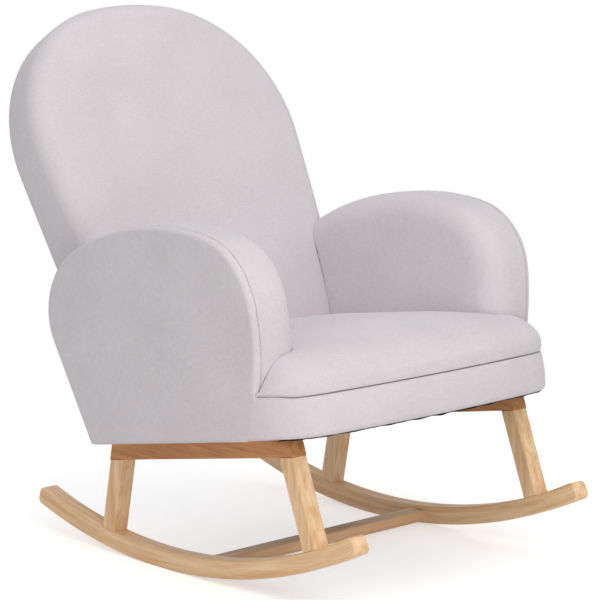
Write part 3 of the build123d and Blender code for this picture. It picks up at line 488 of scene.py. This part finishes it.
def tuck_arm(p):
    """Rounds an arm's lower edges, notches it for the back, and adds a little unevenness."""
    p = p.copy()
    outer_share = np.clip((p[:, 0] - ARM_INNER) / (ARM_OUTER - ARM_INNER), 0, 1)
    p[:, 0] -= toe_in(p[:, 1], p[:, 2]) * outer_share
    foot = ARM_FOOT_ROUND
    below = foot - np.clip(p[:, 2], 0, foot)
    sink = foot - np.sqrt(np.maximum(foot ** 2 - below ** 2, 0))
    limit = apron_side(p[:, 1]) - toe_in(p[:, 1], p[:, 2])
    p[:, 0] = np.minimum(p[:, 0], limit + (ARM_OUTER + 5 - limit) * smooth((p[:, 2] - 55) / 50.0))
    front_part = smooth((p[:, 1] + 330.0) / 40.0)
    p[:, 0] = np.minimum(p[:, 0], ARM_OUTER - sink * front_part)
    rear = (p[:, 1:] - ARM_FOOT) @ OUTWARD
    p[:, 1] -= np.maximum(rear + sink, 0) / math.cos(RAKE)
    p[:, 0] += 0.6 * puckers(p)
    p[:, 1] += puckers(p) * smooth((-250.0 - p[:, 1]) / 60.0)
    p[:, 2] -= puckers(p) * (1 - smooth((-250.0 - p[:, 1]) / 60.0))
    uneven = lumps(p, 95.0, ARM_UNEVEN, 3.0) * smooth(p[:, 2] / 60.0)
    p[:, 0] += uneven * smooth((p[:, 0] - ARM_OUTER + 8) / 8.0) * smooth((p[:, 2] - 60) / 60.0)
    hollow = smooth((ARM_INNER + 30 - p[:, 0]) / 30.0) * smooth((p[:, 2] - 150) / 60.0)
    p[:, 0] += ARM_HOLLOW * hollow
    s, t = back_local(p)
    depth = t - (lumbar(s) - lumbar(BACK_TOP)) + BACK_GAP
    side = back_half(s) + BACK_SIDE_GAP - p[:, 0]
    inside = (depth > 0) & (side > 0)
    near_front = inside & (depth < BACK_EDGE_DEPTH) & (side > BACK_EDGE_SIDE)
    p[near_front, 1] -= depth[near_front] / math.cos(RAKE)
    beside = inside & ~near_front
    p[beside, 0] += side[beside]
    return p


def mirrored(obj, name):
    """Mirror copy of an object across the chair's middle."""
    mesh = obj.data.copy()
    mesh.name = name
    bm = bmesh.new()
    bm.from_mesh(mesh)
    for vert in bm.verts:
        vert.co.x = -vert.co.x
    bmesh.ops.reverse_faces(bm, faces=bm.faces)
    bm.to_mesh(mesh)
    bm.free()
    copy = bpy.data.objects.new(name, mesh)
    bpy.context.scene.collection.objects.link(copy)
    return copy


# ---------------------------------------------------------------- the seat
SEAT_FRONT, SEAT_BOW, SEAT_CORNER, SEAT_HALF = -441.0, 38.0, 120.0, 342.6
BOW_RADIUS = (SEAT_HALF ** 2 + SEAT_BOW ** 2) / (2 * SEAT_BOW)
BOW_CENTRE = SEAT_FRONT + BOW_RADIUS                    # on the middle line
CORNER_X = SEAT_HALF - SEAT_CORNER
CORNER_Y = BOW_CENTRE - math.sqrt((BOW_RADIUS - SEAT_CORNER) ** 2 - CORNER_X ** 2)
APRON_TOP_ROUND, APRON_LOW_ROUND, APRON_RETURN = 4.5, 9.0, 20.0
APRON_SWELL, APRON_SAG = 3.0, 2.5
SEAM_LIFT = 7.0              # how far the seam under the cushion climbs towards the arms


def apron_path():
    """Right half of the apron's outline in (X, Y), from the side to the middle of its front."""
    turn = math.atan2(CORNER_Y - BOW_CENTRE, CORNER_X)
    bow = arc((0, BOW_CENTRE), BOW_RADIUS, turn, -math.pi / 2, 10.0)
    corner = arc((CORNER_X, CORNER_Y), SEAT_CORNER, 0, turn, 4.0)
    return chain([[SEAT_HALF, -250.0], [SEAT_HALF, -270.0]], corner, bow)


def apron_side(y):
    """Half width of the seat's plan at a depth."""
    path = apron_path()
    return np.interp(-np.asarray(y), -path[:, 1], path[:, 0])


def corner_lift(x):
    """How far the seam under the cushion climbs towards the arms' fronts."""
    return SEAM_LIFT * smooth((np.abs(x) - 302.0) / 36.0)


def side_share(x, power):
    """0 at the middle of the seat to 1 at its sides."""
    return np.clip(x / SEAT_HALF, 0, 1) ** power


def make_apron(fabric):
    """Padded front of the seat base; its sides run flush into the arms' outer panels."""
    path = apron_path()
    total = length(path)
    steps = steps_along(path)
    fixed = np.interp(345.0, -path[:, 1], steps)
    rest = np.linspace(fixed, total, 60)
    top_r, low_r, depth = APRON_TOP_ROUND, APRON_LOW_ROUND, APRON_RETURN
    turns = np.linspace(0, math.pi / 2, 6)
    section = [(depth, 0.0)]
    section += [(low_r * (1 - math.sin(a)), low_r * (1 - math.cos(a))) for a in turns]
    section += [(0.0, z) for z in np.linspace(low_r, APRON_TOP - top_r, 7)[1:-1]]
    section += [(top_r * (1 - math.cos(a)), APRON_TOP - top_r * (1 - math.sin(a))) for a in turns]
    section += [(depth, APRON_TOP)]
    columns = []
    for d, z in section:
        start = np.interp(0.5 - arm_front(z) - 22.0, -path[:, 1], steps)
        places = np.r_[np.linspace(start, fixed, 14)[:-1], rest]
        at, normal = along(path, places)
        lid = smooth((arm_front(APRON_TOP) + 2.0 - at[:, 1]) / 14.0)
        if z > APRON_TOP - top_r and d < depth:
            d = d * lid
        inner = -1.0 if normal[len(rest)][1] < 0 else 1.0
        inside = at + inner * normal * np.reshape(d, (-1, 1))
        columns.append(np.stack([inside[:, 0], inside[:, 1], np.full(len(at), z)], 1))
    half = np.stack(columns, 1)
    swell = APRON_SWELL * np.sin(math.pi * np.clip(half[..., 2] / APRON_TOP, 0, 1)) ** 1.3
    outer = np.array([d < depth - 1 for d, _ in section])
    half[..., 1] -= swell * smooth((-330.0 - half[..., 1]) / 70.0) * outer
    sag = smooth((-340.0 - half[..., 1]) / 60.0) * (1 - smooth(half[..., 2] / 30.0))
    half[..., 2] -= APRON_SAG * sag
    behind = half[..., 1] - arm_front(half[..., 2])
    half[..., 0] += outer * (0.5 * smooth((behind + 14.0) / 12.0) - 1.6 * smooth(behind / 21.0))
    half[..., 2] += corner_lift(half[..., 0]) * np.clip(half[..., 2] / APRON_TOP, 0, 1) ** 2
    half[..., 0] -= toe_in(half[..., 1], half[..., 2]) * side_share(half[..., 0], 3)
    grid = np.concatenate([half, half[::-1][1:] * [-1, 1, 1]])
    mesh = Mesh()
    mesh.grid(grid)
    mesh.grid(np.stack([grid[:, 0], grid[:, -1]], 1), flip=True)
    for end in (grid[0], grid[-1]):
        mesh.grid(np.stack([end, np.repeat(end.mean(0)[None], len(section), 0)], 0))
    return mesh.build("apron_cover", fabric, weld=0.05)


# ---------------------------------------------------------------- the seat cushion
ARM_GAP = 0.7                # between the cushion and the arms
CUSHION_SIDE = ARM_INNER - ARM_GAP
CUSHION_REAR_GAP = 1.2       # between the cushion and the back
NOSE_OUT = 2.0               # how far the cushion stands out over the apron
CROWN, CROWN_RISE, DOME, LOBE_FALL = 143.0, 11.0, 25.0, 49.0
FRONT_REACH = 110.0          # depth over which the crown rounds down to the front edge
MIDDLE_REACH, LOBE_REACH = 70.0, -40.0                  # what the middle and the lobes add
INFLATE_CAP = 3.5            # the simulation moves no point further than this
INFLATE_FRAMES = 20


def cushion_edge(x):
    """Depth of the cushion's front edge and its outward direction, at places across it."""
    reach = np.abs(x)
    bow_r, corner_r = BOW_RADIUS + NOSE_OUT, SEAT_CORNER + NOSE_OUT
    bow = BOW_CENTRE - np.sqrt(bow_r ** 2 - reach ** 2)
    turn = np.clip((reach - CORNER_X) / corner_r, 0, 0.9999)
    corner = CORNER_Y - corner_r * np.sqrt(1 - turn ** 2)
    meet = CORNER_X * bow_r / (BOW_RADIUS - SEAT_CORNER)
    y = np.where(reach < meet, bow, corner)
    out_x = np.where(reach < meet, reach / bow_r, turn) * np.sign(x)
    return y, out_x, -np.sqrt(1 - out_x ** 2)


def cushion_low(x):
    """Height of the cushion's lowest edge and of its fullest line, at places across it."""
    low = APRON_TOP + 1.6 + corner_lift(x)
    return low, low + 17.0 * (1 - 0.7 * smooth((np.abs(x) - 308.0) / 30.0))


def cushion_height(x, y):
    """Top of the cushion: a long crown that falls to the arms and rounds over its front."""
    edge, _, out_y = cushion_edge(x)
    inside = np.maximum((edge - y) * out_y, 0)
    aside = np.abs(x)
    rise = np.clip((y + 346.0) / 390.0, 0, 1)
    dome = DOME * (1 - np.minimum(aside / 245.0, 1) ** 1.8)
    dome = dome * (0.55 + 0.45 * smooth((y + 440.0) / 200.0))
    dome = dome * (1 - 0.4 * smooth((y + 120.0) / 165.0))
    lobe = np.clip((aside - 255.0) / 75.0, 0, 1.1)
    crown = CROWN + CROWN_RISE * rise + dome - LOBE_FALL * lobe ** 3.2
    reach = FRONT_REACH + MIDDLE_REACH * (1 - smooth(aside / 245.0))
    reach = reach + LOBE_REACH * smooth((aside - 260.0) / 60.0)
    full = np.sqrt(1 - (1 - np.clip(inside / reach, 0, 1)) ** 2)
    side = np.clip((CUSHION_SIDE - aside) / 16.0, 0, 1)
    tucked = smooth((y + 335.0) / 40.0)
    edge_drop = 7.0 * (1 - np.sqrt(1 - (1 - side) ** 2)) * tucked
    belly = cushion_low(x)[1]
    return belly + np.maximum(crown - belly, 2.0) * full - edge_drop


def arm_face(x, z):
    """Y of the arm's front at a place, with its rounded inner edge."""
    turn = np.clip(ARM_INNER + ARM_INNER_ROUND - np.abs(x), 0, ARM_INNER_ROUND)
    return arm_front(z) + ARM_INNER_ROUND - np.sqrt(ARM_INNER_ROUND ** 2 - turn ** 2)


def back_front(z):
    """Y of the back's front face at a height, where the seat meets it."""
    s = z / math.cos(RAKE)
    for _ in range(4):
        t = lumbar(s) - lumbar(BACK_TOP)
        s = (z + t * math.sin(RAKE)) / math.cos(RAKE)
    return BACK_FOOT_Y + s * math.sin(RAKE) + t * math.cos(RAKE)


def make_cushion(fabric):
    """Crowned seat cushion; its front corners wrap in front of the arms."""
    tip = -arm_front(APRON_TOP + 10.0) + ARM_GAP
    half = np.linspace(0, 1, 400) * (SEAT_HALF + NOSE_OUT)
    end = float(np.interp(-tip, cushion_edge(half)[0][200:], half[200:])) - 0.5
    lobe = CUSHION_SIDE + (end - CUSHION_SIDE) * np.sin(np.linspace(0, math.pi / 2, 28))
    lobes = len(lobe)
    x = np.r_[-lobe[::-1], np.linspace(-CUSHION_SIDE, CUSHION_SIDE, 64)[1:-1], lobe]
    edge, out_x, out_y = cushion_edge(x)
    low, belly = cushion_low(x)
    stop = np.full(len(x), -340.0)
    for _ in range(6):
        height = np.minimum(cushion_height(x, stop), 200.0)
        stop = np.maximum(arm_face(x, height) - ARM_GAP, edge + 0.4)
    middle = np.abs(x) <= CUSHION_SIDE + 1e-6
    shares = np.linspace(0, 1, 40)[1:] ** 1.7
    start, under = edge + 12.0, low - 1.0
    rows = []
    for share in (1.0, 0.5, 0.0):
        y = start + (np.maximum(stop, start) - start) * share
        rows.append(np.stack([x, y, under], 1))
    for turn in np.linspace(-math.pi / 2, 0, 8):
        inset = 5.0 * (1 - math.cos(turn))
        z = belly + (belly - low) * math.sin(turn)
        rows.append(np.stack([x - out_x * inset, edge - out_y * inset, z], 1))
    for share in shares:
        y = edge + (stop - edge) * share
        rows.append(np.stack([x, y, cushion_height(x, y)], 1))
    front = np.stack(rows)
    room = arm_face(front[:, :, 0], front[:, :, 2]) - ARM_GAP
    front[:, :, 1] = np.minimum(front[:, :, 1], room)
    mesh = Mesh()
    mesh.grid(front)
    for column, sign in ((front[:, 0], -1.0), (front[:, -1], 1.0)):
        centre = column.mean(0)
        caps = [column]
        for share, out in ((0.8, 0.5), (0.45, 0.9), (0.0, 1.0)):
            caps.append(centre + (column - centre) * share + [sign * out, 0.0, 0.0])
        mesh.grid(np.stack(caps))
    xm = x[middle]
    top_y = front[-1, middle, 1]
    top_rows, wall_rows = 46, 6
    rows = []
    for share in np.linspace(0, 1, top_rows):
        z = np.full(len(xm), 155.0)
        for _ in range(4):
            y = top_y + (back_front(z) - CUSHION_REAR_GAP - top_y) * share
            z = cushion_height(xm, y) - 6.0 * smooth((y - back_front(z) + 22.0) / 22.0) ** 2
        rows.append(np.stack([xm, y, z], 1))
    rows[0] = front[-1, middle]
    for z in np.linspace(rows[-1][:, 2], under[middle], 5)[1:]:
        rows.append(np.stack([xm, back_front(z) - CUSHION_REAR_GAP, z], 1))
    rows.append(front[0, middle])
    rear = np.stack(rows)
    mesh.grid(rear)
    for side in (0, -1):
        lower = np.linspace(rear[-1, side], rear[-2, side], top_rows)
        mesh.grid(np.linspace(rear[:top_rows, side], lower, wall_rows))
    for lobe_side in (slice(0, lobes), slice(-lobes, None)):
        mesh.grid(np.linspace(front[-1, lobe_side], front[0, lobe_side], wall_rows))
    mesh.move(plump)
    obj = mesh.build("cushion_cover", fabric, weld=0.3)
    inflate(obj, INFLATE_CAP)
    return obj


def plump(p):
    """Draws the cushion in with the shell's sides and adds the unevenness of its filling."""
    p[:, 0] -= toe_in(p[:, 1], p[:, 2]) * np.sign(p[:, 0]) * side_share(np.abs(p[:, 0]), 3)
    top = smooth((p[:, 2] - 95.0) / 30.0)
    p[:, 2] += lumps(p, 110.0, 1.6, 7.0) * top + lumps(p, 38.0, 0.5, 9.0) * top
    return p


def inflate(obj, cap):
    """Cloth simulation with inner pressure; no point moves further than the cap, in mm."""
    rest = coords(obj)
    low = cushion_low(rest[:, 0])[1] + 6.0
    against = np.abs(rest[:, 0]) > CUSHION_SIDE - 8.0
    rear = rest[:, 1] > back_front(rest[:, 2]) - 22.0
    held = (rest[:, 2] < low) | (against & (rest[:, 1] > -345.0)) | rear
    group = obj.vertex_groups.new(name="held")
    group.add([int(i) for i in np.nonzero(held)[0]], 1.0, "REPLACE")
    cloth = obj.modifiers.new("cloth", "CLOTH")
    settings, cache = cloth.settings, cloth.point_cache
    settings.quality, settings.mass = 6, 0.3
    settings.tension_stiffness = settings.compression_stiffness = 25
    settings.shear_stiffness, settings.bending_stiffness = 10, 3.0
    settings.use_pressure, settings.uniform_pressure_force = True, 3.0
    settings.effector_weights.gravity = 0.0
    settings.vertex_group_mass = "held"
    cache.frame_start, cache.frame_end = 1, INFLATE_FRAMES
    for step in range(1, INFLATE_FRAMES + 1):
        bpy.context.scene.frame_set(step)
    graph = bpy.context.evaluated_depsgraph_get()
    moved = coords(obj.evaluated_get(graph)) - rest
    obj.modifiers.clear()
    obj.vertex_groups.clear()
    bpy.context.scene.frame_set(1)
    far = np.linalg.norm(moved, axis=1)
    moved *= np.minimum(1, cap / np.maximum(far, 1e-6))[:, None]
    set_coords(obj, rest + moved)


# ---------------------------------------------------------------- the cloth under the seat
CLOTH_FRONT, CLOTH_REAR, CLOTH_HALF = -346.0, 55.0, 250.0
CLOTH_HEM = ((7.0, -4.3, 1.9), (7.5, -3.4, 1.2), (9.0, -2.8, 0.4), (12.0, -2.7, 0.0),
             (30.0, -1.6, 0.0))         # inset from the apron, height, share of the ripple
CLOTH_SAG, CLOTH_CREASE = 6.0, 1.2


def make_dust_cover(fabric):
    """Black cloth under the seat: its folded edge hangs below the apron, its middle sags."""
    path = apron_path()
    start = float(np.interp(353.0, -path[:, 1], steps_along(path)))
    at, normal = along(path, np.linspace(start, length(path), 110))
    inner = -1.0 if normal[-1][1] < 0 else 1.0
    at = np.concatenate([at, at[::-1][1:] * [-1, 1]])
    normal = inner * np.concatenate([normal, normal[::-1][1:] * [-1, 1]])
    ripple = np.array([noise.noise(Vector((x / 26.0, y / 26.0, 4.0))) for x, y in at])
    rows = []
    for inset, z, wave in CLOTH_HEM:
        ring = at + normal * (inset + ripple * wave * 0.4)[:, None]
        rows.append(np.stack([ring[:, 0] * 0.977, ring[:, 1], z + ripple * wave], 1))
    border = CLOTH_HALF * at[:, 0] / np.abs(at[:, 0]).max()
    for y in np.linspace(CLOTH_FRONT, CLOTH_REAR, 30):
        sag = np.sin(math.pi * (y - CLOTH_FRONT) / (CLOTH_REAR - CLOTH_FRONT))
        sag = sag * np.cos(border / CLOTH_HALF * math.pi / 2)
        crease = np.array([noise.noise(Vector((x / 70.0, y / 70.0, 2.0))) for x in border])
        z = -1.3 - CLOTH_SAG * sag - CLOTH_CREASE * crease * (sag > 0) * sag
        rows.append(np.stack([border, np.full(len(border), y), z], 1))
    mesh = Mesh()
    mesh.grid(np.stack(rows))
    return mesh.build("underside_cloth", fabric, weld=0.05)


# ---------------------------------------------------------------- materials
def new_material(name):
    """Empty node material and its shader."""
    material = bpy.data.materials.new(name)
    material.use_nodes = True
    return material, material.node_tree, material.node_tree.nodes["Principled BSDF"]


def node(tree, kind, **values):
    """Adds a node; keyword names are properties, or input names with spaces as underscores."""
    made = tree.nodes.new(kind)
    for key, value in values.items():
        if hasattr(made, key):
            setattr(made, key, value)
        else:
            made.inputs[key.replace("_", " ")].default_value = value
    return made


def math_node(tree, operation, a, b=None):
    """Math node; each input is a socket or a number."""
    made = tree.nodes.new("ShaderNodeMath")
    made.operation = operation
    for index, value in enumerate((a, b)):
        if value is None:
            continue
        if isinstance(value, (int, float)):
            made.inputs[index].default_value = value
        else:
            tree.links.new(value, made.inputs[index])
    return made.outputs[0]


def noise_on(tree, vector, stretch=None, **values):
    """Noise texture's grey on coordinates that may be stretched."""
    if stretch:
        mapping = node(tree, "ShaderNodeMapping", Scale=stretch)
        tree.links.new(vector, mapping.inputs["Vector"])
        vector = mapping.outputs[0]
    texture = node(tree, "ShaderNodeTexNoise", **values)
    tree.links.new(vector, texture.inputs["Vector"])
    return texture.outputs["Fac"]


def centred(tree, value, share):
    """A share of how far a grey value stands from its middle."""
    return math_node(tree, "MULTIPLY", math_node(tree, "SUBTRACT", value, 0.5), share)


def paint(tree, shader, tone, stops):
    """Base colour from a tone; the stops are pairs of a place and a colour."""
    ramp = node(tree, "ShaderNodeValToRGB")
    for element, (position, colour) in zip(ramp.color_ramp.elements, stops):
        element.position, element.color = position, (*colour, 1)
    tree.links.new(tone, ramp.inputs["Fac"])
    tree.links.new(ramp.outputs["Color"], shader.inputs["Base Color"])


def relief_from(tree, shader, height, strength, distance):
    """Bump from a height, with its depth in metres."""
    bump = node(tree, "ShaderNodeBump", Strength=strength, Distance=distance)
    tree.links.new(height, bump.inputs["Height"])
    tree.links.new(bump.outputs["Normal"], shader.inputs["Normal"])


def weave_height(tree, position, normal, pitch):
    """Plain weave relief on three planes, blended by the surface's direction."""
    axes = tree.nodes.new("ShaderNodeSeparateXYZ")
    tree.links.new(position, axes.inputs[0])
    facing = tree.nodes.new("ShaderNodeSeparateXYZ")
    tree.links.new(normal, facing.inputs[0])
    waves = []
    for output in axes.outputs:
        turns = math_node(tree, "MULTIPLY", output, math.pi / pitch)
        waves.append(math_node(tree, "SINE", turns))
    total = None
    for k in range(3):
        product = math_node(tree, "MULTIPLY", waves[(k + 1) % 3], waves[(k + 2) % 3])
        weight = math_node(tree, "MULTIPLY", facing.outputs[k], facing.outputs[k])
        part = math_node(tree, "MULTIPLY", product, weight)
        total = part if total is None else math_node(tree, "ADD", total, part)
    return total


def fabric_material(name, dark, light, pitch=0.0016, relief=0.35, roughness=0.92, sheen=0.25):
    """Woven cloth: crossed threads, a mottled yarn colour and a soft sheen."""
    material, tree, shader = new_material(name)
    place_node = node(tree, "ShaderNodeTexCoord")
    shape = node(tree, "ShaderNodeNewGeometry")
    position = place_node.outputs["Object"]
    weave = weave_height(tree, position, shape.outputs["Normal"], pitch)
    streaks = []
    for scale in ((900.0, 120.0, 120.0), (120.0, 900.0, 120.0), (120.0, 120.0, 900.0)):
        streaks.append(noise_on(tree, position, scale, Scale=1.0, Detail=3.0, Roughness=0.6))
    both = math_node(tree, "ADD", streaks[0], streaks[1])
    yarns = math_node(tree, "DIVIDE", math_node(tree, "ADD", both, streaks[2]), 3.0)
    broad = noise_on(tree, position, Scale=9.0, Detail=2.0)
    tone = math_node(tree, "ADD", math_node(tree, "MULTIPLY", weave, 0.16), yarns)
    tone = math_node(tree, "ADD", tone, centred(tree, broad, 0.25))
    paint(tree, shader, tone, ((0.28, dark), (0.72, light)))
    relief_from(tree, shader, math_node(tree, "ADD", weave, yarns), relief, 0.0006)
    shader.inputs["Roughness"].default_value = roughness
    shader.inputs["Sheen Weight"].default_value = sheen
    shader.inputs["Sheen Roughness"].default_value = 0.5
    shader.inputs["Specular IOR Level"].default_value = 0.2
    return material


def wood_material(name, light, dark, lacquer=0.12, curved=False, turn=(0, 0, 0)):
    """Light timber whose grain runs along X of the turned axes, or round the rockers' centre."""
    material, tree, shader = new_material(name)
    source = node(tree, "ShaderNodeTexCoord").outputs["Object"]
    if curved:
        axes = tree.nodes.new("ShaderNodeSeparateXYZ")
        tree.links.new(source, axes.inputs[0])
        centre = place([[0, *ROCKER_CENTRE]])[0]
        y = math_node(tree, "SUBTRACT", axes.outputs[1], float(centre[1]))
        z = math_node(tree, "SUBTRACT", axes.outputs[2], float(centre[2]))
        squares = [math_node(tree, "MULTIPLY", value, value) for value in (y, z)]
        radius = math_node(tree, "SQRT", math_node(tree, "ADD", *squares))
        angle = math_node(tree, "ARCTAN2", y, math_node(tree, "MULTIPLY", z, -1.0))
        run = math_node(tree, "MULTIPLY", angle, ROCKER_MIDDLE_RADIUS)
        joined = tree.nodes.new("ShaderNodeCombineXYZ")
        for index, value in enumerate((run, axes.outputs[0], radius)):
            tree.links.new(value, joined.inputs[index])
        source = joined.outputs[0]
    mapping = node(tree, "ShaderNodeMapping", Rotation=turn)
    tree.links.new(source, mapping.inputs["Vector"])
    turned = mapping.outputs[0]
    grain = noise_on(tree, turned, (1.6, 26.0, 26.0),
                     Scale=3.0, Detail=6.0, Roughness=0.62, Distortion=0.35)
    pores = noise_on(tree, turned, (30.0, 900.0, 900.0), Scale=1.0, Detail=2.0)
    tone = math_node(tree, "ADD", grain, centred(tree, pores, 0.22))
    paint(tree, shader, tone, ((0.35, dark), (0.64, light)))
    relief_from(tree, shader, tone, 0.12, 0.0004)
    shader.inputs["Roughness"].default_value = 0.5
    shader.inputs["Specular IOR Level"].default_value = 0.22
    shader.inputs["Coat Weight"].default_value = lacquer
    shader.inputs["Coat Roughness"].default_value = 0.3
    return material


def metal_material(name, colour, roughness):
    """Metal with faint brushed variation."""
    material, tree, shader = new_material(name)
    source = node(tree, "ShaderNodeTexCoord").outputs["Object"]
    speck = noise_on(tree, source, Scale=400.0, Detail=3.0)
    paint(tree, shader, speck, ((0.0, [c * 0.8 for c in colour]), (1.0, colour)))
    shader.inputs["Metallic"].default_value = 1.0
    shader.inputs["Roughness"].default_value = roughness
    return material


linen = fabric_material("linen", (0.63, 0.592, 0.620), (0.79, 0.748, 0.782))
thread = fabric_material("thread", (0.60, 0.57, 0.60), (0.74, 0.70, 0.735),
                         pitch=0.0009, relief=0.2)
felt = fabric_material("felt_cloth", (0.30, 0.29, 0.27), (0.45, 0.43, 0.40), pitch=0.003)
strap = fabric_material("strap_cloth", (0.05, 0.045, 0.04), (0.12, 0.11, 0.10), pitch=0.002)
black = fabric_material("black_cloth", (0.008, 0.008, 0.009), (0.02, 0.02, 0.022),
                        pitch=0.001, sheen=0.02)
LIGHT, DARK = (0.95, 0.68, 0.43), (0.76, 0.455, 0.225)
QUARTER = math.radians(90)
rocker_wood = wood_material("rocker_wood", LIGHT, DARK, curved=True)
# The top rails are the same timber as the legs; their darker, more saturated colours are painted
# shade from the padding above them.
rail_wood_painted_shade = wood_material("rail_wood_painted_shade", (0.68, 0.325, 0.13), (0.46, 0.18, 0.06),
                          turn=(0, 0, QUARTER))
leg_wood = wood_material("leg_wood", LIGHT, DARK, turn=(0, QUARTER, 0))
bar_wood = wood_material("stretcher_wood", (0.82, 0.52, 0.31), (0.62, 0.36, 0.18))
frame_wood = wood_material("frame_wood", (0.60, 0.45, 0.29), (0.46, 0.32, 0.19), lacquer=0.0)
zinc = metal_material("zinc", (0.62, 0.62, 0.64), 0.35)
wire = metal_material("spring_wire", (0.2, 0.2, 0.21), 0.4)

dress = {
    "rocker_left": rocker_wood, "rocker_right": rocker_wood,
    "top_rail_left": rail_wood_painted_shade, "top_rail_right": rail_wood_painted_shade,
    "front_leg_left": leg_wood, "front_leg_right": leg_wood,
    "rear_leg_left": leg_wood, "rear_leg_right": leg_wood,
    "stretcher": bar_wood,
    "frame_bolts": zinc, "frame_washers": zinc, "frame_tee_nuts": zinc,
    "arm_bolts": zinc, "back_bolts": zinc, "seat_springs": wire, "spring_clips": zinc,
    "spring_cover": felt, "back_webbing": strap, "dust_cover": black,
}
for name, obj in nodes.items():
    material = dress.get(name, frame_wood)
    for index in range(max(1, len(obj.data.materials))):
        if index < len(obj.data.materials):
            obj.data.materials[index] = material
        else:
            obj.data.materials.append(material)

# ---------------------------------------------------------------- pieces
arm_right = make_arm("arm_cover_right", linen)
arm_left = mirrored(arm_right, "arm_cover_left")
pieces = {
    "back_padding": make_back(linen),
    "arm_padding_right": arm_right,
    "arm_padding_left": arm_left,
    "seat_apron": make_apron(linen),
    "seat_cushion": make_cushion(linen),
}
for name, piece in pieces.items():
    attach(piece, "root")
    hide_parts(name)

stitches_right = make_stitches("arm_stitches_right", thread)
stitches_left = mirrored(stitches_right, "arm_stitches_left")
for piece in (stitches_right, stitches_left):
    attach(piece, "root")

dust = make_dust_cover(black)
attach(dust, "root")
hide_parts("dust_cover")

# ---------------------------------------------------------------- floor, light, camera
FLOOR_GLOW = 0.52            # the floor's own light, for the camera's eye alone
WORLD_LIGHT = 0.53           # on the chair; the camera sees a white world
SHADOW_NEAR, SHADOW_FAR = 0.5, 1.7      # metres over which the floor fades to white


def stage_material():
    """White floor: it keeps the chair's soft shadow and fades to plain white further out."""
    material, tree, shader = new_material("white_floor")
    shader.inputs["Base Color"].default_value = (0.85, 0.85, 0.85, 1)
    shader.inputs["Roughness"].default_value = 0.9
    shader.inputs["Specular IOR Level"].default_value = 0.1
    seen = seen_rays(tree)
    glow = node(tree, "ShaderNodeEmission")
    tree.links.new(math_node(tree, "MULTIPLY", seen, FLOOR_GLOW), glow.inputs["Strength"])
    near = node(tree, "ShaderNodeAddShader")
    tree.links.new(shader.outputs[0], near.inputs[0])
    tree.links.new(glow.outputs[0], near.inputs[1])
    white = node(tree, "ShaderNodeEmission", Strength=1.0)
    where = node(tree, "ShaderNodeTexCoord")
    distance = node(tree, "ShaderNodeVectorMath", operation="LENGTH")
    tree.links.new(where.outputs["Object"], distance.inputs[0])
    fade = node(tree, "ShaderNodeMapRange", interpolation_type="SMOOTHSTEP",
                From_Min=SHADOW_NEAR, From_Max=SHADOW_FAR)
    tree.links.new(distance.outputs["Value"], fade.inputs["Value"])
    mix = node(tree, "ShaderNodeMixShader")
    tree.links.new(math_node(tree, "MULTIPLY", fade.outputs[0], seen), mix.inputs[0])
    tree.links.new(near.outputs[0], mix.inputs[1])
    tree.links.new(white.outputs[0], mix.inputs[2])
    tree.links.new(mix.outputs[0], tree.nodes["Material Output"].inputs["Surface"])
    return material


def seen_rays(tree):
    """1 for rays from the camera or through gloss and glass, else 0."""
    path = tree.nodes.new("ShaderNodeLightPath")
    seen = math_node(tree, "MAXIMUM", path.outputs["Is Camera Ray"], path.outputs["Is Glossy Ray"])
    return math_node(tree, "MAXIMUM", seen, path.outputs["Is Transmission Ray"])


bpy.ops.mesh.primitive_circle_add(
    vertices=96, radius=40.0, fill_type="NGON", location=(0, 0, -0.0005),
)
floor = bpy.context.object
floor.name = "studio_floor"
floor.data.materials.append(stage_material())

world = bpy.data.worlds.new("studio")
bpy.context.scene.world = world
world.use_nodes = True
tree = world.node_tree
back = tree.nodes["Background"]
back.inputs["Color"].default_value = (1, 1, 1, 1)
strength = math_node(tree, "MAXIMUM", seen_rays(tree), WORLD_LIGHT)
tree.links.new(strength, back.inputs["Strength"])


def lamp(name, at, aim, size, power, colour=(1, 1, 1)):
    """Square area lamp aimed at a point."""
    data = bpy.data.lights.new(name, "AREA")
    data.shape, data.size, data.energy, data.color = "SQUARE", size, power, colour
    obj = bpy.data.objects.new(name, data)
    obj.location = at
    obj.rotation_euler = (Vector(aim) - Vector(at)).to_track_quat("-Z", "Y").to_euler()
    bpy.context.scene.collection.objects.link(obj)


lamp("key", (-1.25, -2.5, 2.0), (0, 0, 0.45), 1.6, 25.5, (1.0, 0.972, 0.935))
lamp("top", (0.0, -0.4, 3.2), (0, 0, 0.5), 2.2, 18)
lamp("low", (-1.5, -2.6, 0.35), (0, 0, 0.12), 0.7, 7.5, (1.0, 0.985, 0.97))

camera = bpy.data.objects.new("camera", bpy.data.cameras.new("camera"))
bpy.context.scene.collection.objects.link(camera)
camera.data.sensor_width, camera.data.lens = 36.0, 161.53
azimuth, elevation = math.radians(-43.0), math.radians(9.94)
camera.location = Vector((-3246.8, CONTACT_Y - 3540.7, 1286.5)) * MM
flat = math.cos(elevation)
sight = Vector((-math.sin(azimuth) * flat, math.cos(azimuth) * flat, -math.sin(elevation)))
camera.rotation_mode = "QUATERNION"
camera.rotation_quaternion = sight.to_track_quat("-Z", "Y")
camera.data.clip_end = 200.0
bpy.context.scene.camera = camera
bpy.context.scene.view_settings.view_transform = "Standard"
